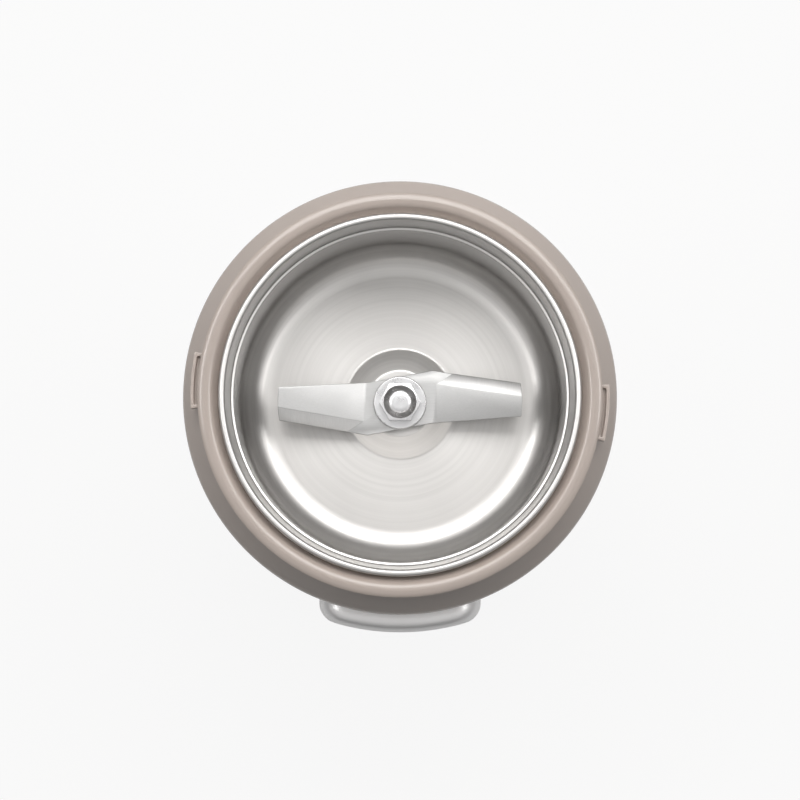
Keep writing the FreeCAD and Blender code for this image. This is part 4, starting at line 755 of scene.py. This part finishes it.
def lid_lug(build, middle):
    """One cored lug for the lid: a curved tab with a thin rim round a pocket in its top."""
    low = 134.4
    high = 138.6
    floor = 137.5
    inner = 46.6
    outer = 49.6
    rim = 0.9
    half_chord = 6.6
    chord_radius = 48.2
    pocket_inner = 47.4
    pocket_outer = outer - rim
    half = math.degrees(math.asin(half_chord / chord_radius))
    core = half - math.degrees(math.asin(rim / pocket_inner))
    steps = 18

    def arc(radius, reach, z):
        turns = [math.radians(middle + reach * (2 * k / steps - 1)) for k in range(steps + 1)]
        return [build.verts.new((radius * math.cos(turn), radius * math.sin(turn), z)) for turn in turns]

    outer_low = arc(outer, half, low)
    outer_high = arc(outer, half, high)
    inner_low = arc(inner, half, low)
    inner_high = arc(inner, half, high)
    far_high = arc(pocket_outer, core, high)
    far_floor = arc(pocket_outer, core, floor)
    near_high = arc(pocket_inner, core, high)
    near_floor = arc(pocket_inner, core, floor)
    rings_between(build, [
        inner_low, outer_low, outer_high, far_high, far_floor, near_floor, near_high, inner_high, inner_low,
    ], closed=False)
    for end in (0, steps):
        build.faces.new((inner_low[end], outer_low[end], outer_high[end], inner_high[end]))
        build.faces.new((outer_high[end], far_high[end], near_high[end], inner_high[end]))
        build.faces.new((far_high[end], far_floor[end], near_floor[end], near_high[end]))


def collar():
    """The collar with both lugs, as one piece."""
    build = bmesh.new()
    lug_angles = (-5.0, 176.0)
    for middle in lug_angles:
        lid_lug(build, middle)
    bmesh.ops.recalc_face_normals(build, faces=build.faces)
    round_edges(build, 0.22, 40.0, 3)
    lugs = mesh_of("lugs", build)
    ring = collar_ring(FINISH["body_plastic"])
    whole = bmesh.new()
    whole.from_mesh(ring)
    whole.from_mesh(lugs)
    made = bpy.data.meshes.new("collar")
    whole.to_mesh(made)
    whole.free()
    shade(made)
    return made


# Bowl

def bowl():
    """The spun bowl: rolled hem, leaning band, small step, straight wall, round corner and a raised boss."""
    return turned("bowl", [
        (5.2, 97.3, 0.15),
        (5.2, 96.6, 0.15),
        (8.5, 96.6, 1.6),
        (14.0, 94.4, 1.6),
        (40.2, 94.4, 8.7),
        (40.2, 131.6, 0.4),
        (40.9, 132.3, 0.4),
        (41.65, 139.4, 0.2),
        (42.2, 139.4, 0.2),
        (42.2, 137.4, 0.1),
        (42.9, 137.4, 0.3),
        (42.9, 141.1, 0.79),
        (41.3, 141.1, 0.79),
        (40.3, 132.3, 0.35),
        (39.5, 132.05, 0.4),
        (39.5, FLOOR_Z, 8.0),
        (13.7, FLOOR_Z, 2.0),
        (8.2, 97.3, 1.3),
    ], FINISH["bowl_steel"], arc_step=6.0)


# Push button

def button_cap():
    """The button: a rounded cap, bowed like the body, on the CAD button's own flange and stem."""
    count = 128
    edge_round = 3.3
    edge_margin = 0.35
    skirt_radius = 49.05
    build = bmesh.new()
    edge = window_edge(BUTTON_HALF_WIDE, BUTTON_HALF_TALL, BUTTON_CORNER, BUTTON_MIDDLE)

    def ring(inset, depth, radius=BUTTON_FRONT):
        return [
            build.verts.new((p.x, -(math.sqrt(radius ** 2 - p.x ** 2) - depth), p.y))
            for p in edge(-inset, count)
        ]

    rings = [ring(0.0, 0.0, skirt_radius), ring(0.0, edge_round + edge_margin), ring(0.0, edge_round)]
    for k in range(1, 9):
        angle = math.radians(90 * k / 8)
        rings.append(ring(edge_round * (1 - math.cos(angle)), edge_round * (1 - math.sin(angle))))
    rings.append(ring(edge_round + edge_margin, 0.0))
    middle = Vector((0.0, BUTTON_MIDDLE))
    last = [Vector((v.co.x, v.co.z)) for v in rings[-1]]
    for share in (0.85, 0.68, 0.5, 0.32, 0.15):
        spots = [middle.lerp(p, share) for p in last]
        rings.append([build.verts.new((p.x, -math.sqrt(BUTTON_FRONT ** 2 - p.x ** 2), p.y)) for p in spots])
    rings_between(build, rings)
    pole = build.verts.new((0.0, -BUTTON_FRONT, BUTTON_MIDDLE))
    for i in range(count):
        build.faces.new((rings[-1][i], rings[-1][(i + 1) % count], pole))
    hidden = welded_copy("push_button")

    def is_skin(face):
        """The CAD cap's outer skin, which the rounded cap stands for."""
        for vert in face.verts:
            c = vert.co
            radius = math.hypot(c.x, c.y)
            in_front = radius > BUTTON_FRONT - 3.1
            inset_x = max(abs(c.x) - (BUTTON_HALF_WIDE - BUTTON_CORNER), 0.0)
            inset_z = max(abs(c.z - BUTTON_MIDDLE) - (BUTTON_HALF_TALL - BUTTON_CORNER), 0.0)
            at_side = abs(math.hypot(inset_x, inset_z) - BUTTON_CORNER) < 0.06
            if not (in_front or at_side):
                return False
        middle_spot = face.calc_center_median()
        return math.hypot(middle_spot.x, middle_spot.y) > 49.0

    bmesh.ops.delete(hidden, geom=[f for f in hidden.faces if is_skin(f)], context="FACES")
    bmesh.ops.recalc_face_normals(build, faces=build.faces)
    if sum(f.normal.y for f in build.faces if abs(f.normal.y) > 0.9) > 0:
        bmesh.ops.reverse_faces(build, faces=build.faces)
    add_mesh_of(hidden, build)
    return plain_mesh("button_cap", build)


# Cutter

def cutter():
    """The two-armed blade with softened edges and a brighter ground face along each leading edge."""
    build = round_edges(copy_of("blade"), 0.14, 14.0, 2)
    made = mesh_of("cutter", build, 25.0)
    made.materials.append(FINISH["blade_steel"])
    made.materials.append(ground_steel(
        "freshly_ground_edge", (0.54, 0.54, 0.54), 0.38, along=(30.0, 0.6, 4.0), depth=0.000004,
    ))
    # A ground face leans by 17 to 57 degrees across its arm, and is larger than a softened edge.
    for face in made.polygons:
        if 0.55 < face.normal.z < 0.955 and abs(face.normal.y) > 0.2 and face.area > 4e-6:
            face.material_index = 1
    return made


def cap_nut():
    """The hexagon nut with softened corners and a rounded cap."""
    build = copy_of("blade_nut")
    cap_foot = 106.9
    hexagon_top = 106.5
    bore_edge = 3.0

    def on_cap(edge):
        return all(v.co.z > cap_foot for v in edge.verts)

    def on_hexagon(edge):
        return all(v.co.z < hexagon_top and math.hypot(v.co.x, v.co.y) > bore_edge for v in edge.verts)

    round_edges(build, 0.9, 25.0, 5, on_cap)
    round_edges(build, 0.25, 28.0, 3, on_hexagon)
    return mesh_of("cap_nut", build, 30.0)


def washer():
    return turned("washer", [
        (2.5, 101.0, 0.1), (6.5, 101.0, 0.2), (6.5, 102.0, 0.3), (2.5, 102.0, 0.1),
    ], FINISH["plated_steel"], 96)


def spacer():
    return turned("spacer", [
        (3.0, 98.0, 0.1), (5.6, 98.0, 0.25), (5.6, 99.5, 0.25), (3.0, 99.5, 0.1),
    ], FINISH["plated_steel"], 96)


def seal():
    return turned("seal", [
        (3.05, 95.3, 0.1), (6.4, 95.3, 0.3), (6.4, 96.6, 0.1), (5.2, 96.6, 0.05), (5.2, 97.3, 0.05),
        (6.1, 97.3, 0.25), (3.05, 97.9, 0.08),
    ], FINISH["rubber_dark"], 96)


# Underside and cord inlet

def foot():
    """The rubber ring foot, with two fine grooves in the face that it stands on."""
    return turned("foot", [
        (31.0, 0.0, 0.9),
        (32.6, 0.0, 0.15), (32.8, 0.5, 0.1), (33.0, 0.0, 0.15),
        (34.0, 0.0, 0.15), (34.2, 0.5, 0.1), (34.4, 0.0, 0.15),
        (36.0, 0.0, 0.9),
        (36.0, 4.0, 0.15),
        (31.0, 4.0, 0.15),
    ], FINISH["rubber_dark"], 192)


def bottom_plate():
    """The base cover with softened edges on its plate, slots and screw seats."""
    return mesh_of("bottom_plate", round_edges(copy_of("base_cover"), 0.22, 40.0, 2), 30.0)


def cross_screw():
    """One screw at the origin, head down: a domed head with a cross recess, on a plain shank."""
    build = bmesh.new()
    head = 2.75
    tall = 1.6
    shank = 1.5
    shank_length = 12.9
    edge_round = 0.55
    recess_wide = 0.42
    recess_reach = 1.5
    recess_deep = 0.95
    segments = 48
    cross = []
    for quarter in range(4):
        turn = math.radians(90 * quarter)
        for x, y in ((recess_wide, recess_reach), (-recess_wide, recess_reach), (-recess_wide, recess_wide)):
            cross.append((x * math.cos(turn) - y * math.sin(turn), x * math.sin(turn) + y * math.cos(turn)))

    def level(radius, z):
        turns = [math.tau * i / segments for i in range(segments)]
        return [build.verts.new((radius * math.cos(turn), radius * math.sin(turn), z)) for turn in turns]

    rings = [
        level(shank, tall + shank_length), level(shank, tall), level(head, tall), level(head, edge_round),
    ]
    for k in range(1, 5):
        angle = math.radians(90 * k / 4)
        rings.append(level(
            head - edge_round + edge_round * math.cos(angle), edge_round - edge_round * math.sin(angle),
        ))
    rings_between(build, rings)
    build.faces.new(rings[0])
    mouth = [build.verts.new((x, y, 0.0)) for x, y in cross]
    floor = [build.verts.new((x * 0.72, y * 0.8, recess_deep)) for x, y in cross]
    rings_between(build, [mouth, floor])
    build.faces.new(floor)
    rim = [build.edges.get((rings[-1][i], rings[-1][(i + 1) % segments])) for i in range(segments)]
    rim += [build.edges.get((mouth[i], mouth[(i + 1) % len(mouth)])) for i in range(len(mouth))]
    bmesh.ops.triangle_fill(build, edges=rim, use_beauty=True, normal=(0, 0, -1))
    bmesh.ops.recalc_face_normals(build, faces=build.faces)
    bmesh.ops.scale(build, vec=(MM, MM, MM), verts=build.verts)
    made = bpy.data.meshes.new("cross_screw")
    build.to_mesh(made)
    build.free()
    return made


def bottom_screws():
    """The four base screws, one at each post."""
    single = bpy.data.objects.new("screw_pattern", cross_screw())
    low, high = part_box("base_screws")
    head_radius = 2.8
    ring = (high.x / MM - head_radius) * math.sqrt(2)
    turns = [math.radians(45 + 90 * k) for k in range(4)]
    spots = [(ring * math.cos(turn), ring * math.sin(turn), low.z / MM) for turn in turns]
    made = run_tree("bottom_screws", REPEATING, {"Piece": single, "Material": FINISH["plated_steel"]}, spots)
    bpy.data.objects.remove(single)
    return made


def inlet_sleeve():
    """The cord's rubber sleeve: a rounded plate outside the wall, a neck through it and a plate inside."""
    low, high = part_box("cord_grommet")
    near = low.y / MM
    far = high.y / MM
    build = bmesh.new()
    lathe_about_y(build, [(p.x, p.y) for p in softened([
        (near, 3.2, 0.2),
        (near, 6.5, 0.5),
        (near + 2.0, 6.5, 0.3),
        (near + 2.0, 4.5, 0.1),
        (far - 2.0, 4.5, 0.1),
        (far - 2.0, 6.5, 0.25),
        (far, 5.6, 0.8),
        (far, 3.2, 0.5),
    ])], CORD_Z)
    return mesh_of("inlet_sleeve", build)


# Springs

def springs(name, starts, length, turns, radius, wire):
    """Springs of one size, each wound along +Y from its own start."""
    build = bmesh.new()
    for start in starts:
        build.from_mesh(run_tree(name, WINDING, {
            "Turns": float(turns), "Radius": radius * MM, "Length": length * MM, "Wire": wire * MM,
            "Start": tuple(MM * c for c in start), "Material": FINISH["spring_steel"],
        }))
    made = bpy.data.meshes.new(name)
    build.to_mesh(made)
    build.free()
    shade(made, 40.0)
    return made


piece("body_moulding", body_moulding(), FINISH["body_plastic"], "housing", "body_plastic", "body_shell")
piece("lid_collar", collar(), FINISH["body_plastic"], "housing", "body_plastic", "top_collar")
piece("spun_bowl", bowl(), FINISH["bowl_steel"], "housing", "bowl_steel", "bowl")
piece("button_cap", button_cap(), FINISH["button_plastic"], "button", "button_plastic", "push_button")
piece("cutter", cutter(), FINISH["blade_steel"], "rotor", "blade_steel", "blade")
piece("cap_nut", cap_nut(), FINISH["plated_steel"], "rotor", "plated_steel", "blade_nut")
piece("clamp_washer", washer(), FINISH["plated_steel"], "rotor", "plated_steel", "blade_washer")
piece("clamp_spacer", spacer(), FINISH["plated_steel"], "rotor", "plated_steel", "blade_spacer")
piece("bowl_seal", seal(), FINISH["rubber_dark"], "housing", "rubber_dark", "shaft_seal")
piece("ring_foot", foot(), FINISH["rubber_dark"], "housing", "rubber_dark", "foot_ring")
piece("bottom_plate", bottom_plate(), FINISH["body_plastic"], "housing", "body_plastic", "base_cover")
piece("bottom_screws", bottom_screws(), FINISH["plated_steel"], "housing", "plated_steel", "base_screws")
piece("inlet_sleeve", inlet_sleeve(), FINISH["rubber_dark"], "housing", "rubber_dark", "cord_grommet")
button_coils = springs(
    "return_springs", [(13.5, -42.5, 89.8), (-13.5, -42.5, 89.8)],
    length=7.55, turns=5, radius=2.5, wire=0.35,
)
return_springs = piece(
    "return_springs", button_coils, FINISH["spring_steel"], "housing", "spring_steel", "button_springs",
)
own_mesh(return_springs)
rear_coil = springs("rear_carbon_spring", [(0.0, 20.9, 22.5)], length=4.0, turns=4, radius=2.3, wire=0.33)
piece(
    "rear_carbon_spring", rear_coil, FINISH["spring_steel"], "housing", "spring_steel",
    "rear_brush_spring",
)
front_coil = springs("front_carbon_spring", [(0.0, -24.9, 22.5)], length=4.0, turns=4, radius=2.3, wire=0.33)
piece(
    "front_carbon_spring", front_coil, FINISH["spring_steel"], "housing", "spring_steel",
    "front_brush_spring",
)


# Floor, light and camera

def floor_and_backdrop():
    """A plain white floor that stays white to the camera and keeps the object's shadow."""
    made = bpy.data.meshes.new("floor")
    half = 4.0
    corners = [(-half, -half, 0), (half, -half, 0), (half, half, 0), (-half, half, 0)]
    made.from_pydata(corners, [], [(0, 1, 2, 3)])
    plane = bpy.data.objects.new("floor", made)
    bpy.context.scene.collection.objects.link(plane)
    material = bpy.data.materials.new("white_paper")
    material.use_nodes = True
    tree = material.node_tree
    tree.nodes.clear()
    matt = add(tree, "ShaderNodeBsdfDiffuse", {"Color": (0.72, 0.72, 0.72, 1.0)})
    white = add(tree, "ShaderNodeEmission", {"Color": (1.0, 1.0, 1.0, 1.0), "Strength": 1.0})
    rays = add(tree, "ShaderNodeLightPath").outputs
    seen = maths(tree, "MAXIMUM", rays["Is Camera Ray"], rays["Is Transmission Ray"])
    # Gloss shows the white at part strength, so that the object's shadow stays in it too.
    in_gloss = maths(tree, "MULTIPLY", rays["Is Glossy Ray"], 0.35)
    share = maths(tree, "MAXIMUM", maths(tree, "MULTIPLY", seen, 0.9), in_gloss)
    mix = add(tree, "ShaderNodeMixShader", {0: share, 1: matt.outputs[0], 2: white.outputs[0]})
    # Seen from below, the floor is clear, so that the underside shows.
    below = add(tree, "ShaderNodeNewGeometry").outputs["Backfacing"]
    clear = add(tree, "ShaderNodeBsdfTransparent").outputs[0]
    sided = add(tree, "ShaderNodeMixShader", {0: below, 1: mix.outputs[0], 2: clear})
    add(tree, "ShaderNodeOutputMaterial", {"Surface": sided.outputs[0]})
    made.materials.append(material)


def studio_world():
    """A white room to the camera, a little fill, and in gloss a room that is brighter above and behind."""
    world = bpy.data.worlds.new("studio")
    bpy.context.scene.world = world
    world.use_nodes = True
    tree = world.node_tree
    tree.nodes.clear()
    rays = add(tree, "ShaderNodeLightPath").outputs
    directions = add(tree, "ShaderNodeTexCoord").outputs["Generated"]
    way = add(tree, "ShaderNodeSeparateXYZ", {0: directions}).outputs
    behind = maths(tree, "MULTIPLY", way["Y"], 0.25)
    slant = maths(tree, "ADD", behind, maths(tree, "MULTIPLY", way["Z"], 0.75))
    level = add(tree, "ShaderNodeMapRange", {
        "Value": slant, "From Min": -0.25, "From Max": 0.6, "To Min": 0.06, "To Max": 0.9,
    }, interpolation_type="SMOOTHSTEP").outputs[0]
    room = add(tree, "ShaderNodeBackground", {"Color": (1.0, 0.992, 0.98, 1.0), "Strength": level})
    fill = add(tree, "ShaderNodeBackground", {"Color": (1.0, 0.995, 0.99, 1.0), "Strength": 0.04})
    lit = add(tree, "ShaderNodeMixShader", {0: rays["Is Glossy Ray"], 1: fill.outputs[0], 2: room.outputs[0]})
    white = add(tree, "ShaderNodeBackground", {"Color": (1.0, 1.0, 1.0, 1.0), "Strength": 1.0})
    clear = maths(tree, "MAXIMUM", rays["Is Camera Ray"], rays["Is Transmission Ray"])
    mix = add(tree, "ShaderNodeMixShader", {0: clear, 1: lit.outputs[0], 2: white.outputs[0]})
    add(tree, "ShaderNodeOutputWorld", {"Surface": mix.outputs[0]})


def lamp(name, place, towards, wide, tall, power):
    """A soft rectangular lamp, in metres and watts, turned towards a point."""
    data = bpy.data.lights.new(name, "AREA")
    data.shape = "RECTANGLE"
    data.size = wide
    data.size_y = tall
    data.energy = power
    data.color = (1.0, 0.99, 0.975)
    light = bpy.data.objects.new(name, data)
    light.location = place
    light.rotation_euler = (Vector(towards) - Vector(place)).to_track_quat("-Z", "Y").to_euler()
    bpy.context.scene.collection.objects.link(light)


def camera_above():
    """The camera nearly overhead, a little to the front, as in the photograph."""
    data = bpy.data.cameras.new("above")
    data.lens = 153.0
    data.sensor_width = 36.0
    eye = bpy.data.objects.new("above", data)
    aim = Vector((0.0, -0.0014, 0.1411))
    distance = 0.80
    rise = math.radians(87.0)
    eye.location = aim + distance * Vector((0.0, -math.cos(rise), math.sin(rise)))
    eye.rotation_euler = (aim - eye.location).to_track_quat("-Z", "Y").to_euler()
    bpy.context.scene.collection.objects.link(eye)
    bpy.context.scene.camera = eye


floor_and_backdrop()
studio_world()
lamp("back_softbox", (0.05, 0.66, 1.18), (0.0, 0.0, 0.1), 1.2, 0.7, 11.8)
lamp("left_softbox", (-0.72, 0.22, 1.1), (0.0, 0.0, 0.1), 0.6, 0.26, 3.0)
lamp("right_softbox", (0.8, 0.22, 1.05), (0.0, 0.0, 0.1), 0.6, 0.26, 3.2)
camera_above()

bpy.context.scene.view_settings.view_transform = "Standard"
